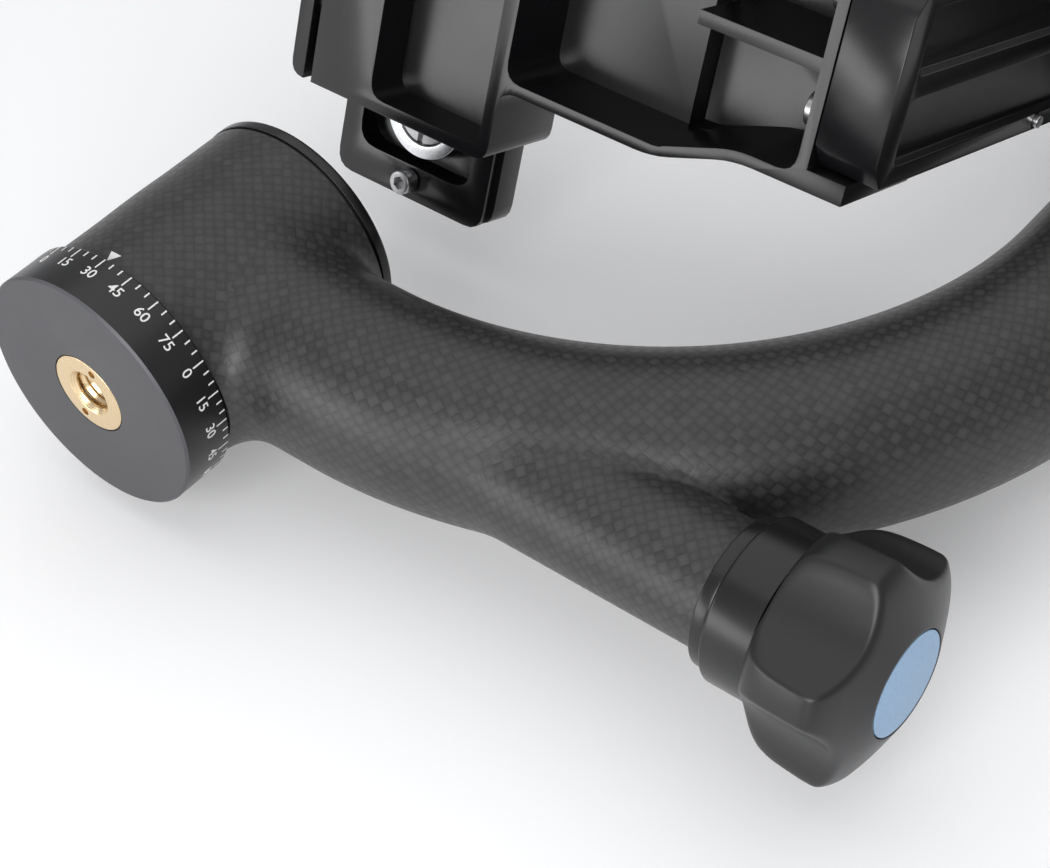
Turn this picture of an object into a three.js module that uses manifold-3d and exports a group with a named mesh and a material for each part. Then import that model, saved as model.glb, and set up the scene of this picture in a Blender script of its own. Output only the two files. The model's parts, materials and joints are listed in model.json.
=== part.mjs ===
// Gimbal head for a tripod: a turning base, a hollow J-shaped arm, a swinging cradle with a
// height-adjustable post and platform, and a clamp that holds a lens plate.
// Millimetres, +Z up. The origin is the centre of the face that rests on the tripod.
// The pan axis is Z, the tilt axis lies along X, and the arm reaches out along +X.
import * as THREE from "three";
import { mergeVertices } from "three/addons/utils/BufferGeometryUtils.js";
import Module from "manifold-3d";

const wasm = await Module();
wasm.setup();

// Clearances and facets
const seatGap = 0.3;
const runGap = 0.3;
const overrun = 2;
const weldDistance = 1e-4;
const wideSides = 36;
const roundSides = 28;
const boreSides = 20;
const smallSides = 10;
const cornerSteps = 4;

// Base and pan bearing
const baseRadius = 30;
const baseHeight = 13;
const baseBevel = 0.7;
const insertFlangeRadius = 9.9;
const insertFlangeThickness = 1.6;
const insertRadius = 7.6;
const insertLength = 9.4;
const studRadius = 4.76;
const insertFlare = 1.1;
const spannerHoleCircle = 7.9;
const spannerHoleRadius = 0.8;
const spannerHoleDepth = 1.3;
const spannerHoleTurn = 35;
const spindleFlangeRadius = 16;
const spindleFlangeThickness = 4;
const spindleFlangeSink = 3;
const bearingBore = 17;
const bearingOuter = 35;
const bearingWidth = 10;
const upperBearingHeight = 43;
const brakeRadius = 12;
const spindleThreadRadius = 6;
const spindleScrewCount = 3;
const spindleScrewCircle = 12.4;
const screwHeadRadius = 2.6;
const screwHeadHeight = 2.4;
const screwShankRadius = 1.5;
const screwShankLength = 5.5;
const nutFlats = 18;
const nutThickness = 4.6;
const washerRadius = 12.5;
const washerThickness = 1.4;

// Carbon arm
const drumRadius = 28.5;
const drumTop = 65;
const drumWall = 4;
const capThickness = 3.2;
const capRadius = 28.7;
const capGroove = 0.6;
const capPlugDepth = 2.4;
const tubeRadius = 21.8;
const tubeWall = 3.3;
const tubeHeight = 38.1;
const straightRun = 45.8;
const bendRadius = 115.9;
const tubeSides = 24;
const tubeBoreSides = 12;
const bendSteps = 14;

// Tilt hub at the top of the arm
const tiltHeight = 268;
const hubRadius = 29;
const hubInnerReach = 22.3;
const hubOuterReach = 25.3;
const hubCapThickness = 3;
const axleFlangeRadius = 18;
const axleFlangeThickness = 4.2;
const axleScrewCount = 3;
const axleScrewCircle = 13.2;

// Lock knobs, measured along their own axis
const panLockHeight = 36.4;
const bossRadius = 14.2;
const bossClearance = 5.14;
const bossBore = 5.2;
const bossSocketDepth = 12;
const collarRadius = 16.6;
const collarThickness = 3.3;
const collarStemRadius = 8.7;
const rodRadius = 3.2;
const sleeveRadius = 18.3;
const sleeveLength = 10.4;
const spigotRadius = 14.8;
const spigotLength = 6;
const knobRadius = 26.3;
const knobHeight = 25.1;
const lobeCount = 5;
const fluteRadius = 22.5;
const fluteDepth = 6.3;
const discRadius = 11.5;
const discThickness = 1.2;
const padRadius = 4.4;
const padLength = 6;
const knobSocketDepth = 17;
const firstFlute = 14;
const knobRimShares = [
  [0.68, 0],
  [0.86, 0.09],
  [0.94, 0.18],
  [0.975, 0.26],
  [1, 0.68],
  [0.97, 0.75],
  [0.88, 0.81],
  [0.76, 0.865],
  [0.46, 1],
];

// Cradle, measured from the tilt axis with the cradle hanging straight down
const cradleSwing = -22;
const postClearance = 13.4;
const postThickness = 15;
const postHalfWidth = 22;
const postAbove = 44;
const rimDrop = 158;
const postCornerWidth = 5.8;
const postCornerHeight = 4.5;
const channelInner = 2.6;
const channelOuter = 17.5;
const channelDepth = 2.5;
const channelEndMargin = 8;
const heightStopRadius = 1.6;
const heightStopDepth = 5;
const heightStopProud = 1.2;
const heightStopOffset = 19.7;
const upperStopRise = 28.6;
const lowerStopDrop = 80;

// Carriage that grips the post at the tilt axis
const carriageHalfHeight = 24;
const carriageBack = 6;
const carriageSide = 5;
const carriageLockSide = 8;
const carriageLip = 3.6;
const carriageLipReach = 5.2;
const gibThickness = 2.7;
const gibHalfHeight = 16;
const gibHalfWidth = 5.5;
const heightKnobRadius = 14;
const heightKnobLength = 17;
const heightKnobLobes = 6;
const heightKnobFlute = 4.5;
const heightKnobFluteDepth = 2.2;
const heightScrewDepth = 14;

// Platform
const platformLeft = -25.5;
const clampHalfLength = 52.3;
const rimWall = 3.1;
const bedRise = 14.2;
const bedSkin = 2.6;
const fixedJawThickness = 7.5;
const fixedJawRise = 10.8;
const jawGap = 0.4;
const clampCorner = 4;
const neckHalfWidth = 33.9;
const neckStep = 2;
const neckSkin = 2.8;
const neckCurve = 5;
const neckLength = 42;
const neckRise = 4;
const shoulderSetBack = 18;
const shoulderLength = 20;
const tailHalfWidth = 27;
const tailOverlap = 9.4;
const tailRise = 6.5;
const tailSkin = 2.5;
const tailWall = 2.6;
const pocketLeft = -7;
const pocketCorner = 4.5;
const webThickness = 3.6;
const ribWidth = 3.2;
const ribLength = 34;
const tailPocketWall = 3;
const postScrewOffset = 13;
const postScrewRise = 11.5;
const postScrewHeadRadius = 4.2;
const postScrewHeadLength = 5;
const postScrewShankRadius = 2.5;
const postScrewReach = 9;

// Lens plate and clamp jaw
const plateCentre = -1.5;
const plateHalfWidth = 23.4;
const plateFront = 76.7;
const plateLength = 150;
const plateThickness = 12;
const plateCorner = 5;
const flangeEdge = 0.7;
const dovetailDepth = 2.3;
const grooveHeight = 1.5;
const recessHalfWidth = 17.7;
const recessDepth = 6.5;
const recessEndMargin = 8.7;
const recessCorner = 5.5;
const slotHalfWidth = 3.6;
const padGrooveDepth = 0.8;
const gripPadHeight = 1.2;
const gripPadWidth = 9;
const gripPadInset = 4;
const stopScrewMargin = 4.9;
const stopScrewHeadRadius = 3;
const stopScrewHeadHeight = 4;
const stopScrewShankRadius = 2;
const stopScrewShankLength = 6;
const jawStripThickness = 4.3;
const jawTravel = 5;
const jawPinRadius = 2.5;
const jawPinOffset = 34;
const jawPinGrip = 15.5;
const jawLipDrop = 1.5;
const clampAxisRise = 6.5;
const clampScrewRadius = 3;
const clampScrewGrip = 15.5;
const clampKnobRadius = 12.5;
const clampKnobLength = 17;
const clampKnobLobes = 7;
const clampKnobFlute = 3.6;
const clampKnobFluteDepth = 1.6;

// Camera screw in the plate's slot
const cameraScrewFromFront = 22.4;
const cameraScrewRadius = 3.1;
const cameraScrewRise = 5.5;
const cameraHeadRadius = 8;
const cameraHeadHeight = 3.6;
const cameraHeadSlot = 1.6;
const carrierRadius = 8.6;
const carrierThickness = 1;
const ringRadius = 11.8;
const ringThickness = 2;

// A three.js shape as a solid that can be cut and joined, turned outwards if its outline ran backwards.
function solidOf(geometry) {
  const shape = geometry.clone();
  shape.deleteAttribute("normal");
  shape.deleteAttribute("uv");
  const merged = mergeVertices(shape, weldDistance);
  const corners = merged.index.array;
  const kept = [];
  for (let i = 0; i < corners.length; i += 3) {
    const [a, b, c] = [corners[i], corners[i + 1], corners[i + 2]];
    if (a !== b && b !== c && c !== a) kept.push(a, b, c);
  }
  const make = (list) =>
    new wasm.Manifold(
      new wasm.Mesh({
        numProp: 3,
        vertProperties: merged.attributes.position.array,
        triVerts: new Uint32Array(list),
      }),
    );
  const made = make(kept);
  return made.volume() < 0 ? make(kept.reverse()) : made;
}

function geometryOf(solid) {
  const mesh = solid.getMesh();
  const points = new Float32Array(mesh.numVert * 3);
  for (let i = 0; i < mesh.numVert; i++) {
    points.set(mesh.vertProperties.subarray(i * mesh.numProp, i * mesh.numProp + 3), i * 3);
  }
  const geometry = new THREE.BufferGeometry();
  geometry.setAttribute("position", new THREE.BufferAttribute(points, 3));
  geometry.setIndex(new THREE.BufferAttribute(mesh.triVerts, 1));
  geometry.computeVertexNormals();
  return geometry;
}

const join = (first, ...others) =>
  geometryOf(others.reduce((whole, next) => whole.add(solidOf(next)), solidOf(first)));
const cut = (body, ...tools) =>
  geometryOf(tools.reduce((rest, tool) => rest.subtract(solidOf(tool)), solidOf(body)));
const common = (first, second) => geometryOf(solidOf(first).intersect(solidOf(second)));

// A body turned about Z from an outline of [radius, height] pairs.
function turned(outline, sides = roundSides) {
  const points = outline.map(([radius, height]) => new THREE.Vector2(radius, height));
  return new THREE.LatheGeometry(points, sides).rotateX(Math.PI / 2);
}

function rod(radius, from, to, sides = roundSides) {
  return turned(
    [
      [0, from],
      [radius, from],
      [radius, to],
      [0, to],
    ],
    sides,
  );
}

function ring(inner, outer, from, to, sides = roundSides) {
  return turned(
    [
      [inner, from],
      [outer, from],
      [outer, to],
      [inner, to],
      [inner, from],
    ],
    sides,
  );
}

function block([x0, x1], [y0, y1], [z0, z1]) {
  return new THREE.BoxGeometry(x1 - x0, y1 - y0, z1 - z0).translate(
    (x0 + x1) / 2,
    (y0 + y1) / 2,
    (z0 + z1) / 2,
  );
}

function prism(shape, from, to, curveSegments = 6) {
  const depth = to - from;
  return new THREE.ExtrudeGeometry(shape, { depth, bevelEnabled: false, curveSegments }).translate(
    0,
    0,
    from,
  );
}

const outlineOf = (points) => new THREE.Shape(points.map(([x, y]) => new THREE.Vector2(x, y)));

// A closed outline whose corners are rounded, each by its own radius.
function roundedOutline(points, radii) {
  const shape = new THREE.Shape();
  const corners = points.map(([x, y]) => new THREE.Vector2(x, y));
  corners.forEach((corner, i) => {
    const before = corners[(i + corners.length - 1) % corners.length];
    const after = corners[(i + 1) % corners.length];
    const radius = Array.isArray(radii) ? radii[i] : radii;
    const start = corner.clone().add(before.clone().sub(corner).setLength(radius));
    const end = corner.clone().add(after.clone().sub(corner).setLength(radius));
    if (i === 0) shape.moveTo(start.x, start.y);
    else shape.lineTo(start.x, start.y);
    if (radius > 0) shape.quadraticCurveTo(corner.x, corner.y, end.x, end.y);
  });
  shape.closePath();
  return shape;
}

function roundedBox([x0, x1], [y0, y1], [z0, z1], radius) {
  const corners = [
    [x0, y0],
    [x1, y0],
    [x1, y1],
    [x0, y1],
  ];
  return prism(roundedOutline(corners, radius), z0, z1, cornerSteps);
}

function hexagon(flats, from, to) {
  return rod(flats / Math.sqrt(3), from, to, 6);
}

// Places along the tilt axis, all worked out from the arm's reach
const armReach = straightRun + bendRadius;
const hubInnerFace = armReach - hubInnerReach;
const hubOuterFace = armReach + hubOuterReach;
const postOuterFace = hubInnerFace - postClearance;
const postInnerFace = postOuterFace - postThickness;
const neckEnd = postInnerFace - neckLength;
const shoulderEnd = postInnerFace - shoulderSetBack;
const shoulderStart = shoulderEnd - shoulderLength;
const ribStart = postInnerFace - ribLength;
const tailPocketEnd = postInnerFace - tailPocketWall;

// The lock boss ends where its collar just clears the outside of the bend
const bendOutside = bendRadius + tubeRadius + bossClearance;
const collarBelowBend = tubeHeight + bendRadius - panLockHeight - collarRadius;
const bossEnd = straightRun + Math.sqrt(bendOutside ** 2 - collarBelowBend ** 2);

// Heights in the cradle, all measured down from the tilt axis
const bedDrop = rimDrop - bedRise;
const fixedJawDrop = bedDrop - fixedJawRise;
const neckDrop = fixedJawDrop + neckStep;
const tailDrop = neckDrop - tailRise;
const postScrewDrop = rimDrop - postScrewRise;
const clampAxisDrop = rimDrop - clampAxisRise;

const root = new THREE.Group();
const panLock = new THREE.Group();
const tiltLock = new THREE.Group();
const cradle = new THREE.Group();
root.add(panLock, tiltLock, cradle);

panLock.position.z = panLockHeight;
panLock.rotation.y = Math.PI / 2;
tiltLock.position.z = tiltHeight;
tiltLock.rotation.y = Math.PI / 2;
cradle.position.z = tiltHeight;
cradle.rotation.x = THREE.MathUtils.degToRad(cradleSwing);
root.updateMatrixWorld(true);

const blackMetal = { color: 0x2b2c2f, roughness: 0.42, metalness: 0.6 };
const dialMetal = { color: 0x3a3b3f, roughness: 0.45, metalness: 0.6 };
const brass = { color: 0xc9a15a, roughness: 0.3, metalness: 1 };
const steel = { color: 0xb9bcc0, roughness: 0.28, metalness: 1 };
const carbon = { color: 0x4a4846, roughness: 0.5, metalness: 0 };
const plastic = { color: 0x2c2c2e, roughness: 0.55, metalness: 0 };
const blueDisc = { color: 0x93b7da, roughness: 0.5, metalness: 0.3 };
const rubber = { color: 0x1c1c1c, roughness: 0.85, metalness: 0 };

function add(name, geometry, finish, parent = root) {
  const mesh = new THREE.Mesh(geometry, new THREE.MeshStandardMaterial(finish));
  mesh.name = name;
  parent.add(mesh);
  return mesh;
}

// Base
const dialFloor = baseHeight - spindleFlangeSink;
const flangeTop = dialFloor + seatGap + spindleFlangeThickness;
const lowerBearing = flangeTop + seatGap;
const drumBottom = baseHeight + runGap;
const capBottom = drumTop + seatGap;
const bearingSeat = bearingBore / 2;
const linerInner = bearingOuter / 2;
const linerOuter = drumRadius - drumWall - seatGap;
const nutBottom = upperBearingHeight + bearingWidth + seatGap + washerThickness + seatGap;
const spindleTop = nutBottom + nutThickness + seatGap;

function around(count, radius, place) {
  return Array.from({ length: count }, (_, i) => {
    const angle = (i / count) * 2 * Math.PI;
    return place(radius * Math.cos(angle), radius * Math.sin(angle), i);
  });
}

function baseDial() {
  const body = turned([
    [0, 0],
    [baseRadius - baseBevel, 0],
    [baseRadius, baseBevel],
    [baseRadius, baseHeight - baseBevel],
    [baseRadius - baseBevel, baseHeight],
    [0, baseHeight],
  ], wideSides);
  const screwFloor = flangeTop - screwHeadHeight - screwShankLength - seatGap * 2;
  return cut(
    body,
    rod(insertRadius + seatGap, -overrun, baseHeight),
    rod(insertFlangeRadius + seatGap, -overrun, insertFlangeThickness + seatGap),
    rod(spindleFlangeRadius + seatGap, dialFloor, baseHeight + overrun),
    ...around(spindleScrewCount, spindleScrewCircle, (x, y) =>
      rod(screwShankRadius + seatGap, screwFloor, baseHeight, smallSides).translate(x, y, 0),
    ),
  );
}

function brassInsert() {
  const body = turned([
    [studRadius, insertFlare],
    [studRadius + insertFlare, 0],
    [insertFlangeRadius, 0],
    [insertFlangeRadius, insertFlangeThickness],
    [insertRadius, insertFlangeThickness],
    [insertRadius, insertLength],
    [studRadius, insertLength],
    [studRadius, insertFlare],
  ]);
  const turn = THREE.MathUtils.degToRad(spannerHoleTurn);
  const holes = around(2, spannerHoleCircle, (x, y) =>
    rod(spannerHoleRadius, -overrun, spannerHoleDepth, smallSides).translate(x, y, 0).rotateZ(turn),
  );
  return cut(body, ...holes);
}

function panSpindle() {
  const body = turned([
    [0, dialFloor + seatGap],
    [spindleFlangeRadius, dialFloor + seatGap],
    [spindleFlangeRadius, flangeTop],
    [bearingSeat, flangeTop],
    [bearingSeat, upperBearingHeight + bearingWidth],
    [spindleThreadRadius, upperBearingHeight + bearingWidth],
    [spindleThreadRadius, spindleTop],
    [0, spindleTop],
  ]);
  const holes = around(spindleScrewCount, spindleScrewCircle, (x, y) =>
    join(
      rod(screwShankRadius + seatGap, 0, flangeTop, smallSides),
      rod(
        screwHeadRadius + seatGap,
        flangeTop - screwHeadHeight - seatGap,
        flangeTop + overrun,
        smallSides,
      ),
    ).translate(x, y, 0),
  );
  return cut(body, ...holes);
}

// A socket screw that points down from the top of its head at the given height.
function socketScrew(headRadius, headHeight, shankRadius, shankLength, top) {
  const body = turned(
    [
      [0, top - headHeight - shankLength],
      [shankRadius, top - headHeight - shankLength],
      [shankRadius, top - headHeight],
      [headRadius, top - headHeight],
      [headRadius, top],
      [0, top],
    ],
    smallSides,
  );
  return cut(body, hexagon(headRadius, top - headHeight / 2, top + overrun));
}

function bearing(from) {
  return ring(bearingSeat + runGap, linerInner - seatGap, from, from + bearingWidth, boreSides);
}

function nut(from, boreRadius) {
  const end = from + nutThickness;
  return cut(
    hexagon(nutFlats, from, end),
    rod(boreRadius, from - overrun, end + overrun, smallSides),
  );
}

add("base_dial", baseDial(), dialMetal);
add("brass_insert", brassInsert(), brass);
add("pan_spindle", panSpindle(), steel);
around(spindleScrewCount, spindleScrewCircle, (x, y, i) => {
  const screw = socketScrew(
    screwHeadRadius,
    screwHeadHeight,
    screwShankRadius,
    screwShankLength,
    flangeTop,
  );
  add(`spindle_screw_${i + 1}`, screw, steel).position.set(x, y, 0);
});
add("pan_bearing_lower", bearing(lowerBearing), steel);
const brakeSleeve = ring(
  bearingSeat + seatGap,
  brakeRadius,
  lowerBearing + bearingWidth + seatGap,
  upperBearingHeight - seatGap,
  boreSides,
);
add("brake_sleeve", brakeSleeve, steel);
add("pan_bearing_upper", bearing(upperBearingHeight), steel);
const spindleWasher = ring(
  spindleThreadRadius + seatGap,
  washerRadius,
  upperBearingHeight + bearingWidth + seatGap,
  nutBottom - seatGap,
  boreSides,
);
add("spindle_washer", spindleWasher, steel);
add("spindle_nut", nut(nutBottom, spindleThreadRadius + seatGap), steel);

// Arm. Its centre line runs out level, bends up through a quarter circle and ends at the tilt axis.
class ArmLine extends THREE.Curve {
  constructor(from, to) {
    super();
    this.from = from;
    this.to = to;
  }
  getPoint(t, target = new THREE.Vector3()) {
    const run = this.from + (this.to - this.from) * t;
    const bend = (Math.PI / 2) * bendRadius;
    const turn = THREE.MathUtils.clamp((run - straightRun) / bendRadius, 0, Math.PI / 2);
    const level = Math.min(run, straightRun);
    const rise = Math.max(run - straightRun - bend, 0);
    return target.set(
      level + bendRadius * Math.sin(turn),
      0,
      tubeHeight + bendRadius * (1 - Math.cos(turn)) + rise,
    );
  }
}

const armRun = straightRun + (Math.PI / 2) * bendRadius + tiltHeight - tubeHeight - bendRadius;
const hubBore = hubRadius - drumWall;

function circleOutline(radius, sides) {
  return outlineOf(around(sides, radius, (x, y) => [x, y]));
}

function armTube(radius, from, to, sides) {
  const extrudePath = new ArmLine(from, to);
  return new THREE.ExtrudeGeometry(circleOutline(radius, sides), { steps: bendSteps, extrudePath });
}

const inPanLock = (geometry) => geometry.applyMatrix4(panLock.matrixWorld);
const inTiltLock = (geometry) => geometry.applyMatrix4(tiltLock.matrixWorld);

function carbonArm() {
  const drumBore = drumRadius - drumWall;
  const outside = join(
    rod(drumRadius, drumBottom, drumTop, wideSides),
    armTube(tubeRadius, 0, armRun, tubeSides),
    inTiltLock(rod(hubRadius, hubInnerFace, hubOuterFace, wideSides)),
    inPanLock(rod(bossRadius, drumBore, bossEnd, boreSides)),
  );
  const boreStart = drumBore / 2;
  const boreEnd = armRun - hubBore / 2;
  return cut(
    outside,
    rod(drumBore, drumBottom - overrun, drumTop + overrun),
    armTube(tubeRadius - tubeWall, boreStart, boreEnd, tubeBoreSides),
    inTiltLock(rod(hubBore, hubInnerFace - overrun, hubOuterFace + overrun)),
    inPanLock(rod(bossBore, boreStart, bossEnd + overrun, smallSides)),
    inPanLock(
      rod(
        collarStemRadius + seatGap,
        bossEnd - bossSocketDepth - seatGap,
        bossEnd + overrun,
        boreSides,
      ),
    ),
  );
}

function panLiner() {
  const top = drumTop - capPlugDepth - seatGap;
  return cut(
    ring(linerInner, linerOuter, drumBottom, top),
    inPanLock(rod(padRadius + runGap, brakeRadius, drumRadius, smallSides)),
  );
}

function drumCap() {
  const top = capBottom + capThickness;
  return turned([
    [0, capBottom - capPlugDepth],
    [linerOuter, capBottom - capPlugDepth],
    [linerOuter, capBottom],
    [capRadius - capGroove, capBottom],
    [capRadius - capGroove, capBottom + capGroove],
    [capRadius, capBottom + capGroove],
    [capRadius, top - capGroove],
    [capRadius - capGroove, top],
    [0, top],
  ], wideSides);
}

add("carbon_arm", carbonArm(), carbon);
add("pan_liner", panLiner(), blackMetal);
add("drum_cap", drumCap(), blackMetal);

// Tilt hub, measured along the tilt axis
const hubLinerStart = hubInnerFace + seatGap;
const hubCapStart = hubOuterFace + seatGap;
const hubPlugDepth = capPlugDepth;
const hubLinerEnd = hubOuterFace - hubPlugDepth - seatGap;
const axleFlangeStart = postOuterFace + runGap + carriageBack + seatGap;
const axleFlangeEnd = axleFlangeStart + axleFlangeThickness;
const innerBearing = hubLinerStart + 2 * seatGap;
const outerBearing = innerBearing + 2 * bearingWidth;
const axleNutStart = outerBearing + bearingWidth + seatGap;
const axleEnd = axleNutStart + nutThickness + seatGap;

const alongX = (geometry) => geometry.rotateY(Math.PI / 2);
const alongBackX = (geometry) => geometry.rotateY(-Math.PI / 2);
const alongBackY = (geometry) => geometry.rotateX(Math.PI / 2);

function hubLiner() {
  return ring(linerInner, hubBore - seatGap, hubLinerStart, hubLinerEnd);
}

function hubInnerRing() {
  return ring(bearingSeat + runGap, hubRadius, axleFlangeEnd + runGap, hubInnerFace - seatGap, wideSides);
}

function hubCap() {
  const end = hubCapStart + hubCapThickness;
  const bore = collarStemRadius + seatGap;
  return turned([
    [bore, hubCapStart - hubPlugDepth],
    [hubBore - seatGap, hubCapStart - hubPlugDepth],
    [hubBore - seatGap, hubCapStart],
    [hubRadius - capGroove, hubCapStart],
    [hubRadius - capGroove, hubCapStart + capGroove],
    [hubRadius, hubCapStart + capGroove],
    [hubRadius, end - capGroove],
    [hubRadius - capGroove, end],
    [bore, end],
    [bore, hubCapStart - hubPlugDepth],
  ], wideSides);
}

add("hub_liner", hubLiner(), blackMetal, tiltLock);
add("hub_inner_ring", hubInnerRing(), blackMetal, tiltLock);
add("hub_cap", hubCap(), blackMetal, tiltLock);
add("tilt_bearing_inner", bearing(innerBearing), steel, tiltLock);
add("tilt_bearing_outer", bearing(outerBearing), steel, tiltLock);

// Lock knobs
function lobedKnob(radius, height, rimShares, lobes, flute, depth, firstAngle) {
  const rim = rimShares.map(([out, up]) => [radius * out, height * up]);
  const body = turned([[0, 0], ...rim, [0, height]], wideSides);
  const flutes = around(lobes, 1, (x, y) =>
    rod(flute, -overrun, height + overrun, boreSides)
      .translate(radius - depth + flute, 0, 0)
      .rotateZ(Math.atan2(y, x) + firstAngle),
  );
  return cut(body, ...flutes);
}

function lockKnob(foot) {
  const knob = lobedKnob(
    knobRadius,
    knobHeight,
    knobRimShares,
    lobeCount,
    fluteRadius,
    fluteDepth,
    THREE.MathUtils.degToRad(firstFlute),
  );
  return cut(
    knob,
    rod(spigotRadius + seatGap, -overrun, spigotLength + seatGap),
    rod(rodRadius + seatGap, 0, knobSocketDepth, smallSides),
    rod(discRadius + seatGap, knobHeight - discThickness - seatGap, knobHeight + overrun),
  ).translate(0, 0, foot);
}

function lockCollar(start, stemDepth) {
  const bore = rodRadius + runGap;
  const end = start + collarThickness;
  return turned([
    [bore, start - stemDepth],
    [collarStemRadius, start - stemDepth],
    [collarStemRadius, start],
    [collarRadius - baseBevel, start],
    [collarRadius, start + baseBevel],
    [collarRadius, end - baseBevel],
    [collarRadius - baseBevel, end],
    [bore, end],
    [bore, start - stemDepth],
  ]);
}

function knobSleeve(start) {
  const bore = rodRadius + seatGap;
  const end = start + sleeveLength;
  return turned([
    [bore, start],
    [sleeveRadius - baseBevel, start],
    [sleeveRadius, start + baseBevel],
    [sleeveRadius, end],
    [spigotRadius, end],
    [spigotRadius, end + spigotLength],
    [bore, end + spigotLength],
    [bore, start],
  ]);
}

function lockSet(prefix, frame, collarStart, stemDepth, padStart) {
  const sleeveStart = collarStart + collarThickness + runGap;
  const foot = sleeveStart + sleeveLength + seatGap;
  const discEnd = foot + knobHeight;
  const rodStart = padStart + padLength + seatGap;
  const rodEnd = foot + knobSocketDepth - seatGap;
  add(`${prefix}_collar`, lockCollar(collarStart, stemDepth), blackMetal, frame);
  add(`${prefix}_brake_pad`, rod(padRadius, padStart, padStart + padLength, smallSides), rubber, frame);
  add(`${prefix}_lock_rod`, rod(rodRadius, rodStart, rodEnd, smallSides), steel, frame);
  add(`${prefix}_knob_sleeve`, knobSleeve(sleeveStart), blackMetal, frame);
  add(`${prefix}_knob`, lockKnob(foot), plastic, frame);
  add(`${prefix}_knob_disc`, rod(discRadius, discEnd - discThickness, discEnd), blueDisc, frame);
}

lockSet("pan", panLock, bossEnd + seatGap, bossSocketDepth, brakeRadius + runGap);
lockSet(
  "tilt",
  tiltLock,
  hubCapStart + hubCapThickness + seatGap,
  hubCapThickness + hubPlugDepth,
  axleEnd + runGap,
);

// Tilt axle, fastened to the back of the carriage
const carriageStart = postOuterFace + runGap;
const carriageEnd = carriageStart + carriageBack;

function onAxleCircle(place) {
  return around(axleScrewCount, axleScrewCircle, place).map((piece) => piece.rotateZ(Math.PI / 4));
}

function tiltAxle() {
  const body = turned([
    [0, axleFlangeStart],
    [axleFlangeRadius, axleFlangeStart],
    [axleFlangeRadius, axleFlangeEnd],
    [bearingSeat, axleFlangeEnd],
    [bearingSeat, outerBearing + bearingWidth],
    [spindleThreadRadius, outerBearing + bearingWidth],
    [spindleThreadRadius, axleEnd],
    [0, axleEnd],
  ]);
  const holes = onAxleCircle((x, y) =>
    join(
      rod(screwShankRadius + seatGap, axleFlangeStart - overrun, axleFlangeEnd, smallSides),
      rod(
        screwHeadRadius + seatGap,
        axleFlangeEnd - screwHeadHeight - seatGap,
        axleFlangeEnd + overrun,
        smallSides,
      ),
    ).translate(x, y, 0),
  );
  return alongX(cut(body, ...holes));
}

const axleSleeveStart = innerBearing + bearingWidth + seatGap;
const axleSleeveEnd = outerBearing - seatGap;
add("tilt_axle", tiltAxle(), steel, cradle);
const axleSleeve = ring(
  bearingSeat + seatGap,
  brakeRadius,
  axleSleeveStart,
  axleSleeveEnd,
  boreSides,
);
add("axle_sleeve", alongX(axleSleeve), steel, cradle);
add("axle_nut", alongX(nut(axleNutStart, spindleThreadRadius + seatGap)), steel, cradle);
const axleScrews = onAxleCircle((x, y) =>
  socketScrew(
    screwHeadRadius,
    screwHeadHeight,
    screwShankRadius,
    screwShankLength,
    axleFlangeEnd,
  ).translate(x, y, 0),
);
axleScrews.forEach((screw, i) => add(`axle_screw_${i + 1}`, alongX(screw), steel, cradle));

// Carriage, gib and height lock
const gripSide = postHalfWidth + runGap;
const lockWallInner = gripSide + gibThickness + seatGap;
const lockWallOuter = lockWallInner + carriageLockSide;
const lockAxisX = postInnerFace + postThickness / 2;

function railCarriage() {
  const lipBack = postInnerFace - runGap;
  const lipFront = lipBack - carriageLip;
  const lipEdge = postHalfWidth - carriageLipReach;
  const section = outlineOf([
    [carriageEnd, -lockWallOuter],
    [carriageEnd, gripSide + carriageSide],
    [lipFront, gripSide + carriageSide],
    [lipFront, lipEdge],
    [lipBack, lipEdge],
    [lipBack, gripSide],
    [carriageStart, gripSide],
    [carriageStart, -lockWallInner],
    [lipBack, -lockWallInner],
    [lipBack, -lipEdge],
    [lipFront, -lipEdge],
    [lipFront, -lockWallOuter],
  ]);
  const screwFloor = axleFlangeEnd - screwHeadHeight - screwShankLength - seatGap;
  const axleHoles = onAxleCircle((x, y) =>
    rod(screwShankRadius + seatGap, screwFloor, carriageEnd + overrun, smallSides).translate(x, y, 0),
  );
  const lockHole = alongBackY(rod(clampScrewRadius + seatGap, 0, lockWallOuter + overrun, smallSides));
  return cut(
    prism(section, -carriageHalfHeight, carriageHalfHeight),
    lockHole.translate(lockAxisX, 0, 0),
    ...axleHoles.map(alongX),
  );
}

function gripKnob(radius, length, lobes, flute, depth, boreDepth) {
  const rimShares = [
    [0.88, 0],
    [1, 0.12],
    [1, 0.82],
    [0.9, 1],
  ];
  const knob = lobedKnob(radius, length, rimShares, lobes, flute, depth, 0);
  return cut(knob, rod(clampScrewRadius + seatGap, -overrun, boreDepth, smallSides));
}

const gib = block(
  [lockAxisX - gibHalfWidth, lockAxisX + gibHalfWidth],
  [-gripSide - gibThickness, -gripSide],
  [-gibHalfHeight, gibHalfHeight],
);
const heightKnobFoot = lockWallOuter + runGap;
const heightScrewEnd = heightKnobFoot + heightScrewDepth - seatGap;
const heightScrew = alongBackY(rod(clampScrewRadius, lockWallInner, heightScrewEnd, smallSides));
const heightKnob = gripKnob(
  heightKnobRadius,
  heightKnobLength,
  heightKnobLobes,
  heightKnobFlute,
  heightKnobFluteDepth,
  heightScrewDepth,
).translate(0, 0, heightKnobFoot);
add("rail_carriage", railCarriage(), blackMetal, cradle);
add("carriage_gib", gib, brass, cradle);
add("height_lock_screw", heightScrew.translate(lockAxisX, 0, 0), steel, cradle);
add("height_knob", alongBackY(heightKnob).translate(lockAxisX, 0, 0), plastic, cradle);

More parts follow.
